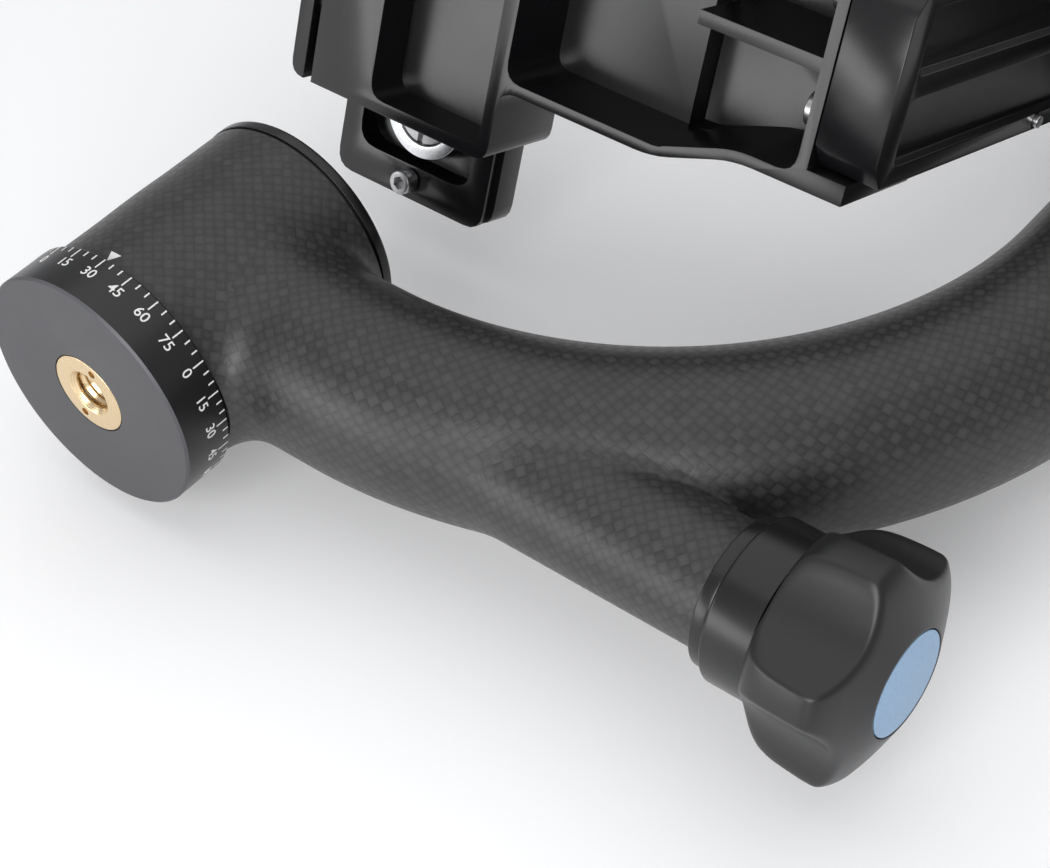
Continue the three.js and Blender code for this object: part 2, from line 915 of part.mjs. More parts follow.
// Outlines drawn in [y, height] and pushed along X, or in [x, height] and pushed along Y.
function pushedAlongX(shape, from, to, curveSegments = cornerSteps) {
  const axes = new THREE.Matrix4().makeBasis(
    new THREE.Vector3(0, 1, 0),
    new THREE.Vector3(0, 0, 1),
    new THREE.Vector3(1, 0, 0),
  );
  return prism(shape, from, to, curveSegments).applyMatrix4(axes);
}

function pushedAlongY(shape, from, to) {
  return prism(shape, -to, -from).rotateX(Math.PI / 2);
}

// Post
function postChannel(side) {
  const bottom = -rimDrop + channelEndMargin;
  const top = postAbove - channelEndMargin;
  const edges = [side * channelInner, side * channelOuter].sort((a, b) => a - b);
  const corners = [
    [edges[0], bottom],
    [edges[1], bottom],
    [edges[1], top],
    [edges[0], top],
  ];
  const outline = roundedOutline(corners, channelDepth);
  return pushedAlongX(outline, postOuterFace - channelDepth, postOuterFace + overrun);
}

function post() {
  const outline = outlineOf([
    [-postHalfWidth, postAbove],
    [-postHalfWidth, -rimDrop + postCornerHeight],
    [-postHalfWidth + postCornerWidth, -rimDrop],
    [postHalfWidth - postCornerWidth, -rimDrop],
    [postHalfWidth, -rimDrop + postCornerHeight],
    [postHalfWidth, postAbove],
  ]);
  const screwHoles = [-postScrewOffset, postScrewOffset].map((y) =>
    alongX(
      rod(
        postScrewShankRadius + seatGap,
        postInnerFace - overrun,
        postInnerFace + postScrewReach,
        smallSides,
      ),
    ).translate(0, y, -postScrewDrop),
  );
  const stopHoles = [upperStopRise, -lowerStopDrop].map((z) =>
    alongX(
      rod(
        heightStopRadius + seatGap,
        postOuterFace - heightStopDepth - seatGap,
        postOuterFace + overrun,
        smallSides,
      ),
    ).translate(0, heightStopOffset, z),
  );
  return cut(
    pushedAlongX(outline, postInnerFace, postOuterFace),
    postChannel(1),
    postChannel(-1),
    ...screwHoles,
    ...stopHoles,
  );
}

function heightStop(z) {
  return alongX(
    rod(
      heightStopRadius,
      postOuterFace - heightStopDepth,
      postOuterFace + heightStopProud,
      smallSides,
    ),
  ).translate(0, heightStopOffset, z);
}

add("post", post(), blackMetal, cradle);
add("height_stop_upper", heightStop(upperStopRise), steel, cradle);
add("height_stop_lower", heightStop(-lowerStopDrop), steel, cradle);

// Lens plate profile, shared by the plate and by the jaws that grip it
const plateBottom = -bedDrop + seatGap;
const plateTop = plateBottom + plateThickness;
const plateRight = plateCentre + plateHalfWidth;
const flangeTopEdge = plateBottom + flangeEdge;
const grooveBottom = flangeTopEdge + dovetailDepth;
const grooveTop = grooveBottom + grooveHeight;
const slant = seatGap * Math.SQRT2;
const hookLow = flangeTopEdge + slant - jawGap;
const hookRise = dovetailDepth + jawGap - seatGap;
const hookHigh = grooveTop - seatGap;
const jawReach = plateHalfWidth + jawGap;
const fixedJawInner = plateCentre + jawReach;
const fixedJawOuter = fixedJawInner + fixedJawThickness;

// The hook that reaches into one groove of the plate, from its foot up, drawn for the side given.
function hookPoints(side) {
  const face = plateCentre + side * jawReach;
  const tip = face - side * hookRise;
  return [
    [face, hookLow],
    [tip, hookLow + hookRise],
    [tip, hookHigh],
    [face, hookHigh],
  ];
}

// Platform
const mirrored = (half) => [...half, ...half.map(([x, y, radius]) => [x, -y, radius]).reverse()];

function roundedPlan(half) {
  const points = mirrored(half);
  return roundedOutline(points, points.map(([, , radius]) => radius));
}

function platformPlan() {
  return roundedPlan([
    [platformLeft, clampHalfLength, 0],
    [fixedJawOuter, clampHalfLength, clampCorner],
    [fixedJawOuter, neckHalfWidth, neckCurve],
    [shoulderStart, neckHalfWidth, neckCurve],
    [shoulderEnd, tailHalfWidth, neckCurve],
    [postInnerFace + tailOverlap, tailHalfWidth, 0],
    [postInnerFace + tailOverlap, postHalfWidth + seatGap, 0],
    [postInnerFace - seatGap, postHalfWidth + seatGap, 0],
  ]);
}

function platformSection() {
  return outlineOf([
    [platformLeft, -rimDrop],
    [platformLeft, -bedDrop],
    [fixedJawInner, -bedDrop],
    ...hookPoints(1),
    [fixedJawInner, -fixedJawDrop],
    [fixedJawOuter, -fixedJawDrop],
    [fixedJawOuter, -neckDrop],
    [neckEnd - tailWall - neckRise, -neckDrop],
    [neckEnd - tailWall, -tailDrop],
    [postInnerFace + tailOverlap, -tailDrop],
    [postInnerFace + tailOverlap, -rimDrop],
  ]);
}

function clampPocket() {
  const right = fixedJawOuter - rimWall;
  const side = clampHalfLength - rimWall;
  const corners = [
    [pocketLeft, -side],
    [right, -side],
    [right, side],
    [pocketLeft, side],
  ];
  return prism(
    roundedOutline(corners, pocketCorner),
    -rimDrop - overrun,
    -bedDrop - bedSkin,
    cornerSteps,
  );
}

function neckPocket() {
  const left = fixedJawOuter + webThickness - tailWall;
  const side = neckHalfWidth - tailWall;
  const corners = [
    [left, -side],
    [ribStart, -side],
    [ribStart, side],
    [left, side],
  ];
  return prism(
    roundedOutline(corners, pocketCorner),
    -rimDrop - overrun,
    -neckDrop - neckSkin,
    cornerSteps,
  );
}

function tailPocket() {
  const plan = roundedPlan([
    [neckEnd, neckHalfWidth - tailWall, 0],
    [shoulderStart, neckHalfWidth - tailWall, (shoulderStart - neckEnd) / 2],
    [shoulderEnd, tailHalfWidth - tailWall, pocketCorner],
    [tailPocketEnd, tailHalfWidth - tailWall, pocketCorner],
  ]);
  const floor = -tailDrop - tailSkin;
  const rib = block(
    [ribStart, tailPocketEnd + overrun],
    [-ribWidth / 2, ribWidth / 2],
    [-rimDrop, floor + overrun],
  );
  return cut(prism(plan, -rimDrop - overrun, floor, cornerSteps), rib);
}

function platform() {
  const body = common(
    prism(platformPlan(), -rimDrop, -tailDrop + overrun, cornerSteps),
    pushedAlongY(platformSection(), -clampHalfLength - overrun, clampHalfLength + overrun),
  );
  const pinHoles = [-jawPinOffset, jawPinOffset].map((y) =>
    alongX(
      rod(jawPinRadius + runGap, platformLeft - overrun, jawPinEnd + seatGap, smallSides),
    ).translate(0, y, -clampAxisDrop),
  );
  const clampHole = alongX(
    rod(clampScrewRadius + seatGap, platformLeft - overrun, clampScrewEnd + seatGap, smallSides),
  );
  const postHoles = [-postScrewOffset, postScrewOffset].map((y) =>
    alongX(
      rod(
        postScrewShankRadius + seatGap,
        tailPocketEnd - overrun,
        postInnerFace + overrun,
        smallSides,
      ),
    ).translate(0, y, -postScrewDrop),
  );
  return cut(
    body,
    clampPocket(),
    neckPocket(),
    tailPocket(),
    clampHole.translate(0, 0, -clampAxisDrop),
    ...pinHoles,
    ...postHoles,
  );
}

function postScrew(y) {
  const headTop = tailPocketEnd - seatGap - postScrewHeadLength;
  const reach = postInnerFace + postScrewReach - seatGap - headTop - postScrewHeadLength;
  const screw = socketScrew(
    postScrewHeadRadius,
    postScrewHeadLength,
    postScrewShankRadius,
    reach,
    0,
  );
  return alongBackX(screw).translate(headTop, y, -postScrewDrop);
}

const jawPinEnd = platformLeft + jawPinGrip;
const clampScrewEnd = platformLeft + clampScrewGrip;
add("platform", platform(), blackMetal, cradle);
[-postScrewOffset, postScrewOffset].forEach((y, i) =>
  add(`post_screw_${i + 1}`, postScrew(y), steel, cradle),
);

// Clamp jaw, its guide pins, screw and knob
const jawInnerFoot = platformLeft - jawTravel / 2;
const jawInnerFace = plateCentre - jawReach;
const jawOuterFace = jawInnerFoot - jawStripThickness;

function clampJaw() {
  const section = outlineOf([
    [jawOuterFace, -rimDrop],
    [jawInnerFoot, -rimDrop],
    [jawInnerFoot, -bedDrop + seatGap],
    [jawInnerFace, -bedDrop + seatGap],
    ...hookPoints(-1),
    [jawInnerFace, -fixedJawDrop - jawLipDrop],
    [jawOuterFace, -fixedJawDrop - jawLipDrop],
  ]);
  const plan = roundedOutline(
    [
      [jawOuterFace, -clampHalfLength],
      [plateCentre, -clampHalfLength],
      [plateCentre, clampHalfLength],
      [jawOuterFace, clampHalfLength],
    ],
    clampCorner,
  );
  const body = common(
    pushedAlongY(section, -clampHalfLength, clampHalfLength),
    prism(plan, -rimDrop - overrun, -fixedJawDrop + overrun, cornerSteps),
  );
  const pinHoles = [-jawPinOffset, jawPinOffset].map((y) =>
    alongX(rod(jawPinRadius + seatGap, jawOuterFace - overrun, jawInnerFoot + overrun, smallSides))
      .translate(0, y, -clampAxisDrop),
  );
  const screwHole = alongX(
    rod(clampScrewRadius + runGap, jawOuterFace - overrun, jawInnerFoot + overrun, smallSides),
  );
  return cut(body, screwHole.translate(0, 0, -clampAxisDrop), ...pinHoles);
}

const clampKnobFoot = jawOuterFace - runGap;
const clampKnobBore = clampKnobLength - rimWall;
const clampScrew = alongX(
  rod(clampScrewRadius, clampKnobFoot - clampKnobBore + seatGap, clampScrewEnd, smallSides),
);
const clampKnob = gripKnob(
  clampKnobRadius,
  clampKnobLength,
  clampKnobLobes,
  clampKnobFlute,
  clampKnobFluteDepth,
  clampKnobBore,
);
add("clamp_jaw", clampJaw(), blackMetal, cradle);
[-jawPinOffset, jawPinOffset].forEach((y, i) =>
  add(
    `jaw_pin_${i + 1}`,
    alongX(rod(jawPinRadius, jawOuterFace, jawPinEnd, smallSides)).translate(0, y, -clampAxisDrop),
    steel,
    cradle,
  ),
);
add("clamp_screw", clampScrew.translate(0, 0, -clampAxisDrop), steel, cradle);
add("clamp_knob", alongBackX(clampKnob).translate(clampKnobFoot, 0, -clampAxisDrop), plastic, cradle);

// Lens plate
const plateBack = plateFront - plateLength;
const recessEnds = [plateBack + recessEndMargin, plateFront - recessEndMargin];
const recessSides = [plateCentre - recessHalfWidth, plateCentre + recessHalfWidth];
const slotEnds = [recessEnds[0] + recessCorner, recessEnds[1] - recessCorner];
const plateSides = [plateCentre - plateHalfWidth, plateRight];
const stopScrewPlaces = [plateFront - stopScrewMargin, plateBack + stopScrewMargin];

function platePadGroove(side, gap, height) {
  const inner = plateCentre + side * (slotHalfWidth + gripPadInset - gap);
  const outer = inner + side * (gripPadWidth + 2 * gap);
  const across = [inner, outer].sort((a, b) => a - b);
  const along = [slotEnds[0] + gripPadInset - gap, slotEnds[1] - gripPadInset + gap];
  return block(across, along, height);
}

function lensPlate() {
  const half = [
    [plateHalfWidth, plateBottom],
    [plateHalfWidth, flangeTopEdge],
    [plateHalfWidth - dovetailDepth, grooveBottom],
    [plateHalfWidth - dovetailDepth, grooveTop],
    [plateHalfWidth, grooveTop],
    [plateHalfWidth, plateTop],
  ];
  const otherHalf = half.map(([x, z]) => [-x, z]).reverse();
  const section = outlineOf([...half, ...otherHalf].map(([x, z]) => [x + plateCentre, z]));
  const body = common(
    pushedAlongY(section, plateBack, plateFront),
    roundedBox(
      plateSides,
      [plateBack, plateFront],
      [plateBottom - overrun, plateTop + overrun],
      plateCorner,
    ),
  );
  const recess = roundedBox(
    recessSides,
    recessEnds,
    [plateBottom - overrun, plateBottom + recessDepth],
    recessCorner,
  );
  const slot = roundedBox(
    [plateCentre - slotHalfWidth, plateCentre + slotHalfWidth],
    slotEnds,
    [plateBottom, plateTop + overrun],
    slotHalfWidth,
  );
  const grooveSpan = [plateTop - padGrooveDepth, plateTop + overrun];
  const padGrooves = [-1, 1].map((side) => platePadGroove(side, seatGap, grooveSpan));
  const screwHoles = stopScrewPlaces.map((y) =>
    rod(
      stopScrewShankRadius + seatGap,
      plateBottom - overrun,
      plateBottom + stopScrewShankLength,
      smallSides,
    ).translate(plateCentre, y, 0),
  );
  return cut(body, recess, slot, ...padGrooves, ...screwHoles);
}

function stopScrew(y) {
  const screw = socketScrew(
    stopScrewHeadRadius,
    stopScrewHeadHeight,
    stopScrewShankRadius,
    stopScrewShankLength - seatGap * 2,
    0,
  );
  const headTop = plateBottom - seatGap - stopScrewHeadHeight;
  return screw.rotateX(Math.PI).translate(plateCentre, y, headTop);
}

add("lens_plate", lensPlate(), blackMetal, cradle);
[-1, 1].forEach((side, i) => {
  const padFloor = plateTop - padGrooveDepth + seatGap;
  add(`grip_pad_${i + 1}`, platePadGroove(side, 0, [padFloor, padFloor + gripPadHeight]), rubber, cradle);
});
stopScrewPlaces.forEach((y, i) => add(`stop_screw_${i + 1}`, stopScrew(y), steel, cradle));

// Camera screw that slides in the plate's slot
const cameraHeadTop = plateBottom + recessDepth - seatGap * 2 - carrierThickness;
const cameraHeadBottom = cameraHeadTop - cameraHeadHeight;
const cameraScrewY = plateFront - cameraScrewFromFront;

function cameraScrew() {
  const slot = block(
    [-cameraHeadSlot / 2, cameraHeadSlot / 2],
    [-cameraHeadRadius - overrun, cameraHeadRadius + overrun],
    [cameraHeadBottom - overrun, cameraHeadBottom + cameraHeadSlot],
  );
  const body = turned([
    [0, cameraHeadBottom],
    [cameraHeadRadius, cameraHeadBottom],
    [cameraHeadRadius, cameraHeadTop],
    [cameraScrewRadius, cameraHeadTop],
    [cameraScrewRadius, plateTop + cameraScrewRise],
    [0, plateTop + cameraScrewRise],
  ], boreSides);
  return cut(body, slot);
}

const atCameraScrew = (geometry) => geometry.translate(plateCentre, cameraScrewY, 0);
const carrierBottom = cameraHeadTop + seatGap;
const carrier = ring(
  cameraScrewRadius + runGap,
  carrierRadius,
  carrierBottom,
  carrierBottom + carrierThickness,
  boreSides,
);
const fingerRing = ring(
  cameraHeadRadius + seatGap,
  ringRadius,
  cameraHeadBottom,
  cameraHeadBottom + ringThickness,
  boreSides,
);
add("screw_carrier", atCameraScrew(carrier), steel, cradle);
add("camera_screw", atCameraScrew(cameraScrew()), steel, cradle);
add("screw_ring", atCameraScrew(fingerRing), steel, cradle);

export default root;
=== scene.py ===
# %% [markdown]
# # A gimbal head for a tripod
#
# The head hangs a long lens from one side. A dial base screws onto the tripod, a hollow carbon arm
# turns on it, and a milled cradle swings from the top of the arm. Every piece below starts from the
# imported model, which has the true sizes and places. This script gives each piece its surface:
# round pieces become truly round, milled pieces get their small radii, and the arm gets its moulded
# fillets and its woven skin.

# %% Frame
import json
import math

import bpy
import numpy as np
from mathutils import Matrix, Vector


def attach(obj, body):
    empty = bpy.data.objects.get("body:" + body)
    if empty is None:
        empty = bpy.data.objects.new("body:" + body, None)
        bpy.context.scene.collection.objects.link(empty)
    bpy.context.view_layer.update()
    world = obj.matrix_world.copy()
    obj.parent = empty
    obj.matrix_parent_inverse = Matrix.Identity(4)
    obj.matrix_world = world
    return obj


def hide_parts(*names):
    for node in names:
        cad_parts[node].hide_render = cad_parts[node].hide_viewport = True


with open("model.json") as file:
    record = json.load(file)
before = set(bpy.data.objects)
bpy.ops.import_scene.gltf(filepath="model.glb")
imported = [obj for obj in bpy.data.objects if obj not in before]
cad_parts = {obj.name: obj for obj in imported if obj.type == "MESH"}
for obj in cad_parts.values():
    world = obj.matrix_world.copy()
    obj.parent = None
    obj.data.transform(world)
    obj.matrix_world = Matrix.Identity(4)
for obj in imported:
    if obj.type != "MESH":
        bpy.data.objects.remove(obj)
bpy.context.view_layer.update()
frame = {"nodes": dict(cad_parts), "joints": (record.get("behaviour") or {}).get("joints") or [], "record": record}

MM = 0.001
nodes = frame["nodes"]

# %% [markdown]
# ## Places to build in
#
# Each round piece is easiest to draw upright, about the Z axis, and is then carried to its place.
# Four places are enough: the pan axis, the pan lock's axis, the tilt axis, and the cradle, which
# hangs a little to one side. Their directions are read from the joints, so they always agree with
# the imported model.

# %% Places
joints = {joint["name"]: joint for joint in frame["joints"]}
body_of_node = {}
for body_name, members in frame["record"]["behaviour"]["bodies"].items():
    for member in members:
        body_of_node[member] = body_name
slot_of_node = {row["node"]: row["material_slot"] for row in frame["record"]["subparts"]}

lock_height = joints["pan_knob_turn"]["pos_m"][2]
tilt_height = joints["tilt_turn"]["pos_m"][2]
up_the_post = Vector(joints["height_slide"]["axis"])
swing = math.atan2(-up_the_post.y, up_the_post.z)

PAN = Matrix.Identity(4)
ALONG_X = Matrix.Rotation(math.pi / 2, 4, "Y")
LOCK = Matrix.Translation((0, 0, lock_height)) @ ALONG_X
TILT = Matrix.Translation((0, 0, tilt_height)) @ ALONG_X
CRADLE = Matrix.Translation((0, 0, tilt_height)) @ Matrix.Rotation(swing, 4, "X")
CRADLE_X = CRADLE @ ALONG_X
CRADLE_BACK_X = CRADLE @ Matrix.Rotation(-math.pi / 2, 4, "Y")
CRADLE_BACK_Y = CRADLE @ Matrix.Rotation(math.pi / 2, 4, "X")
CRADLE_DOWN = CRADLE @ Matrix.Rotation(math.pi, 4, "X")
print("cradle swing", round(math.degrees(swing), 2), "degrees")


def shifted(place, x, y):
    """A place moved sideways, in millimetres."""
    return place @ Matrix.Translation((x * MM, y * MM, 0))


def placed(name, data):
    """A new object in the scene."""
    made = bpy.data.objects.new(name, data)
    bpy.context.scene.collection.objects.link(made)
    return made


def local_points(node, place):
    """The corners of a node, in millimetres, seen from a place."""
    corners = np.array([v.co for v in nodes[node].data.vertices])
    back = np.array(place.inverted())
    return (corners @ back[:3, :3].T + back[:3, 3]) / MM


def reach(node, place, at=(0, 0)):
    """Widest radius, lowest and highest point of a node about a place's own Z axis."""
    points = local_points(node, place)
    radius = np.hypot(points[:, 0] - at[0], points[:, 1] - at[1]).max()
    return float(radius), float(points[:, 2].min()), float(points[:, 2].max())


# %% [markdown]
# ## The view
#
# The photograph looks up from below the base, along the arm, with the head lying on its side. The
# camera stands where the dial's circles, its marks and the arm's outline all fall in place.

# %% Camera
PHOTO_WIDTH = 1050
FOCAL_PIXELS = 2315.26
SENSOR = 36.0
CAMERA_PLACE = Vector((316.96, -348.04, -211.15)) * MM
CAMERA_RIGHT = Vector((0.7786476, 0.0552387, 0.6250253))
CAMERA_DOWN = Vector((0.4143791, 0.7027238, -0.5783331))
CAMERA_AHEAD = Vector((-0.4711665, 0.7093151, 0.5242845))

camera_data = bpy.data.cameras.new("camera")
camera_data.lens = FOCAL_PIXELS * SENSOR / PHOTO_WIDTH
camera_data.sensor_width = SENSOR
camera_data.clip_start = 0.01
camera = placed("camera", camera_data)
turn = Matrix((CAMERA_RIGHT, -CAMERA_DOWN, -CAMERA_AHEAD)).transposed()
camera.matrix_world = Matrix.Translation(CAMERA_PLACE) @ turn.to_4x4()
bpy.context.scene.camera = camera
bpy.context.scene.view_settings.view_transform = "Standard"
print("lens", round(camera_data.lens, 2), "mm")

# %% [markdown]
# ## Finishes
#
# Each finish is a small node tree. Grain and weave come from noise and wave textures on the piece's
# own coordinates, in metres, so a scale of 1000 means one cell a millimetre. The numbers that are
# the same all over a surface sit on the shader itself.

# %% Material helpers


def shader_of(made):
    return made.node_tree.nodes["Principled BSDF"]


def finish(name, color, roughness, metallic=0.0):
    """A new material, with what is the same all over set on its shader."""
    made = bpy.data.materials.new(name)
    made.use_nodes = True
    inputs = shader_of(made).inputs
    inputs["Base Color"].default_value = (*color, 1)
    inputs["Roughness"].default_value = roughness
    inputs["Metallic"].default_value = metallic
    return made


def add_node(made, kind, values=None, **settings):
    """A new node, with its settings and the values of its sockets."""
    node = made.node_tree.nodes.new(kind)
    for key, value in settings.items():
        setattr(node, key, value)
    for key, value in (values or {}).items():
        node.inputs[key].default_value = value
    return node


def wire(made, source, target):
    made.node_tree.links.new(source, target)


def math_node(made, operation, first, second=None):
    """One step of arithmetic on sockets or plain numbers."""
    node = add_node(made, "ShaderNodeMath", operation=operation)
    for socket, value in zip(node.inputs, (first, second)):
        if value is None:
            continue
        if hasattr(value, "is_output"):
            wire(made, value, socket)
        else:
            socket.default_value = value
    return node.outputs[0]


def object_noise(made, scale, detail=3.0):
    where = add_node(made, "ShaderNodeTexCoord")
    noise = add_node(made, "ShaderNodeTexNoise", {"Scale": scale, "Detail": detail})
    wire(made, where.outputs["Object"], noise.inputs["Vector"])
    return noise.outputs["Fac"]


def vary_roughness(made, fac, low, high):
    spread = add_node(made, "ShaderNodeMapRange", {"To Min": low, "To Max": high})
    wire(made, fac, spread.inputs["Value"])
    wire(made, spread.outputs["Result"], shader_of(made).inputs["Roughness"])


def vary_color(made, fac, dark, light):
    ramp = add_node(made, "ShaderNodeValToRGB")
    for stop, color, position in zip(ramp.color_ramp.elements, (dark, light), (0.3, 0.7)):
        stop.color = (*color, 1)
        stop.position = position
    wire(made, fac, ramp.inputs["Fac"])
    wire(made, ramp.outputs["Color"], shader_of(made).inputs["Base Color"])


def bump(made, height, strength, distance):
    node = add_node(made, "ShaderNodeBump", {"Strength": strength, "Distance": distance})
    wire(made, height, node.inputs["Height"])
    wire(made, node.outputs["Normal"], shader_of(made).inputs["Normal"])


# %% Anodised aluminium, plastic, brass, steel, paint and rubber
GLOSS_PATCHES = 60.0
SPECKS = 900.0
RING_PATCHES = 120.0
WAVE_RATE = 20


def grained(name, color, roughness, metallic, grain, depth, spread=0.06):
    """A finish with a fine even grain and slow patches in its gloss."""
    made = finish(name, color, roughness, metallic)
    bump(made, object_noise(made, grain, 2.0), 0.5, depth)
    vary_roughness(made, object_noise(made, GLOSS_PATCHES), roughness - spread, roughness + spread)
    vary_color(made, object_noise(made, SPECKS), [c * 0.94 for c in color], [c * 1.06 for c in color])
    return made


def turned_rings(name, color, roughness, metallic, place, pitch, depth, spread=0.05):
    """A lathe-turned finish: fine grooves that run round the place's own axis."""
    made = finish(name, color, roughness, metallic)
    where = add_node(made, "ShaderNodeTexCoord")
    move = add_node(made, "ShaderNodeMapping")
    back = place.inverted()
    move.inputs["Location"].default_value = back.to_translation()
    move.inputs["Rotation"].default_value = back.to_euler()
    wire(made, where.outputs["Object"], move.inputs["Vector"])
    rings = add_node(
        made,
        "ShaderNodeTexWave",
        {"Scale": math.pi / (WAVE_RATE * pitch * MM), "Distortion": 0.4, "Detail": 2.0},
        wave_type="RINGS",
        rings_direction="Z",
    )
    wire(made, move.outputs["Vector"], rings.inputs["Vector"])
    bump(made, rings.outputs["Fac"], 0.35, depth)
    vary_roughness(made, object_noise(made, RING_PATCHES), roughness - spread, roughness + spread)
    vary_color(made, rings.outputs["Fac"], [c * 0.9 for c in color], [c * 1.06 for c in color])
    return made


ANODISED = grained("anodised", (0.005, 0.005, 0.0058), 0.24, 0.0, 5200.0, 0.000012, 0.04)
BLACK_METAL = grained("black_metal", (0.006, 0.006, 0.0066), 0.27, 0.0, 4200.0, 0.000012, 0.04)
DIAL_RIM = grained("dial_metal", (0.009, 0.009, 0.0098), 0.32, 0.0, 5200.0, 0.000012, 0.04)
DIAL_FACE = turned_rings("dial_face", (0.105, 0.105, 0.112), 0.46, 0.75, PAN, 0.16, 0.000004)
BRASS = turned_rings("brass", (0.80, 0.62, 0.38), 0.27, 1.0, PAN, 0.2, 0.000003)
STEEL = grained("steel", (0.52, 0.52, 0.53), 0.30, 1.0, 3000.0, 0.000006)
BRIGHT_STEEL = grained("bright_steel", (0.74, 0.75, 0.77), 0.24, 1.0, 3000.0, 0.000004)
KNOB_PLASTIC = grained("knob_plastic", (0.010, 0.010, 0.0108), 0.36, 0.0, 3400.0, 0.00003, 0.04)
RUBBER = grained("rubber", (0.020, 0.020, 0.020), 0.75, 0.0, 1800.0, 0.00008)
BLUE = grained("blue_disc", (0.27, 0.44, 0.655), 0.38, 0.0, 5000.0, 0.000004, 0.02)
PAINT = grained("white_paint", (0.82, 0.82, 0.80), 0.55, 0.0, 6000.0, 0.00001)

# %% [markdown]
# ## Woven carbon
#
# The arm is laid up in a biaxial sleeve: flat tows cross over and under each other at 45 degrees to
# the tube. The pattern has to follow the tube round its bend, so it reads a UV map that unrolls the
# surface in millimetres. A checker of the two directions picks which tow is on top, and each tow is
# rounded across its width and dips at both ends. Its fibres are noise that is drawn out along it.
# The colour also carries painted light: the tows of one direction are painted lighter than the
# others, as a painted sheen, and each tow is painted lighter on its crown and darker in its dips.
# A picture of a weave would be quicker to set up, but it would blur in a close view.

# %% Carbon weave
TOW_WIDTH = 2.2
FIBRE_LENGTH_RATE = 0.8
FIBRE_WIDTH_RATE = 7.0
CARBON_DARK = (0.0185, 0.0178, 0.0174)
CARBON_LIGHT = (0.045, 0.0434, 0.0424)
# Colour shares: random patches, painted sheen on one tow direction, painted highlight on tow crowns with painted
# shade in their dips, and fibre grain.
PATCH_SHARE, PAINTED_SHEEN_SHARE, PAINTED_CROWN_SHARE, FIBRE_SHARE = 0.16, 0.10, 0.34, 0.40


def carbon_weave():
    """Two crossing directions of tows, with their height, gloss and fibres, and painted sheen in their colour."""
    made = finish("carbon_weave", (0.04, 0.038, 0.036), 0.40)

    def calc(*terms):
        return math_node(made, *terms)

    uv = add_node(made, "ShaderNodeUVMap", uv_map="weave")
    turned_uv = add_node(
        made,
        "ShaderNodeMapping",
        {"Rotation": (0, 0, math.radians(45)), "Scale": (1 / TOW_WIDTH,) * 3},
    )
    wire(made, uv.outputs["UV"], turned_uv.inputs["Vector"])
    split = add_node(made, "ShaderNodeSeparateXYZ")
    wire(made, turned_uv.outputs["Vector"], split.inputs["Vector"])
    u, v = split.outputs["X"], split.outputs["Y"]
    cell_u, cell_v = calc("FLOOR", u), calc("FLOOR", v)
    parity = calc("PINGPONG", calc("ADD", cell_u, cell_v), 1.0)
    in_u, in_v = calc("FRACT", u), calc("FRACT", v)
    arch_u = calc("SINE", calc("MULTIPLY", in_u, math.pi))
    arch_v = calc("SINE", calc("MULTIPLY", in_v, math.pi))

    def tow(across, along):
        crown = calc("POWER", across, 0.45)
        dip = calc("MULTIPLY", calc("POWER", along, 0.8), 0.75)
        return calc("MULTIPLY", crown, dip)

    over = calc("MULTIPLY", tow(arch_v, arch_u), parity)
    other = calc("SUBTRACT", 1.0, parity)
    under = calc("MULTIPLY", tow(arch_u, arch_v), other)
    height = calc("ADD", over, under)

    cell = add_node(made, "ShaderNodeCombineXYZ")
    wire(made, cell_u, cell.inputs["X"])
    wire(made, cell_v, cell.inputs["Y"])
    wire(made, parity, cell.inputs["Z"])
    patch = add_node(made, "ShaderNodeTexWhiteNoise")
    wire(made, cell.outputs["Vector"], patch.inputs["Vector"])

    def fibres(*stretch):
        drawn = add_node(made, "ShaderNodeMapping", {"Scale": stretch})
        wire(made, turned_uv.outputs["Vector"], drawn.inputs["Vector"])
        grain = add_node(made, "ShaderNodeTexNoise", {"Scale": 1.0, "Detail": 2.0})
        wire(made, drawn.outputs["Vector"], grain.inputs["Vector"])
        return grain.outputs["Fac"]

    lengthwise = fibres(FIBRE_LENGTH_RATE, FIBRE_WIDTH_RATE, 1)
    crosswise = fibres(FIBRE_WIDTH_RATE, FIBRE_LENGTH_RATE, 1)
    lengthwise = calc("MULTIPLY", lengthwise, parity)
    crosswise = calc("MULTIPLY", crosswise, other)
    strands = calc("ADD", lengthwise, crosswise)
    # The colour mixes random patches and fibre grain with painted light: one tow direction is lighter, as a
    # painted sheen, and crowns are lighter than dips.
    shade = calc("MULTIPLY", patch.outputs["Value"], PATCH_SHARE)
    for part, share in ((parity, PAINTED_SHEEN_SHARE), (height, PAINTED_CROWN_SHARE), (strands, FIBRE_SHARE)):
        shade = calc("ADD", shade, calc("MULTIPLY", part, share))
    vary_color(made, shade, CARBON_DARK, CARBON_LIGHT)
    gloss = calc("ADD", calc("MULTIPLY", parity, 0.07), 0.38)
    wire(made, gloss, shader_of(made).inputs["Roughness"])
    bump(made, calc("ADD", height, strands), 0.30, 0.0001)
    return made


CARBON = carbon_weave()

BY_SLOT = {
    "dial_metal": DIAL_RIM,
    "brass": BRASS,
    "steel": STEEL,
    "bright_steel": BRIGHT_STEEL,
    "carbon": CARBON,
    "black_metal": BLACK_METAL,
    "anodised": ANODISED,
    "knob_plastic": KNOB_PLASTIC,
    "blue_disc": BLUE,
    "rubber": RUBBER,
}
for name, node in nodes.items():
    node.data.materials.clear()
    node.data.materials.append(BY_SLOT[slot_of_node[name]])
print(len(BY_SLOT), "finishes on", len(nodes), "nodes")

# %% [markdown]
# ## Ways to make a piece
#
# Four helpers carry most of the work. `spun` turns an outline round an axis in many small steps.
# `milled` takes a copy of a node's own flat faces and rounds its edges with a bevel. `cut_with`
# takes tools away with booleans, which leaves clean mouths. `seated` says which node the piece
# stands for, which body it rides on and which finish it takes.

# %% Helpers


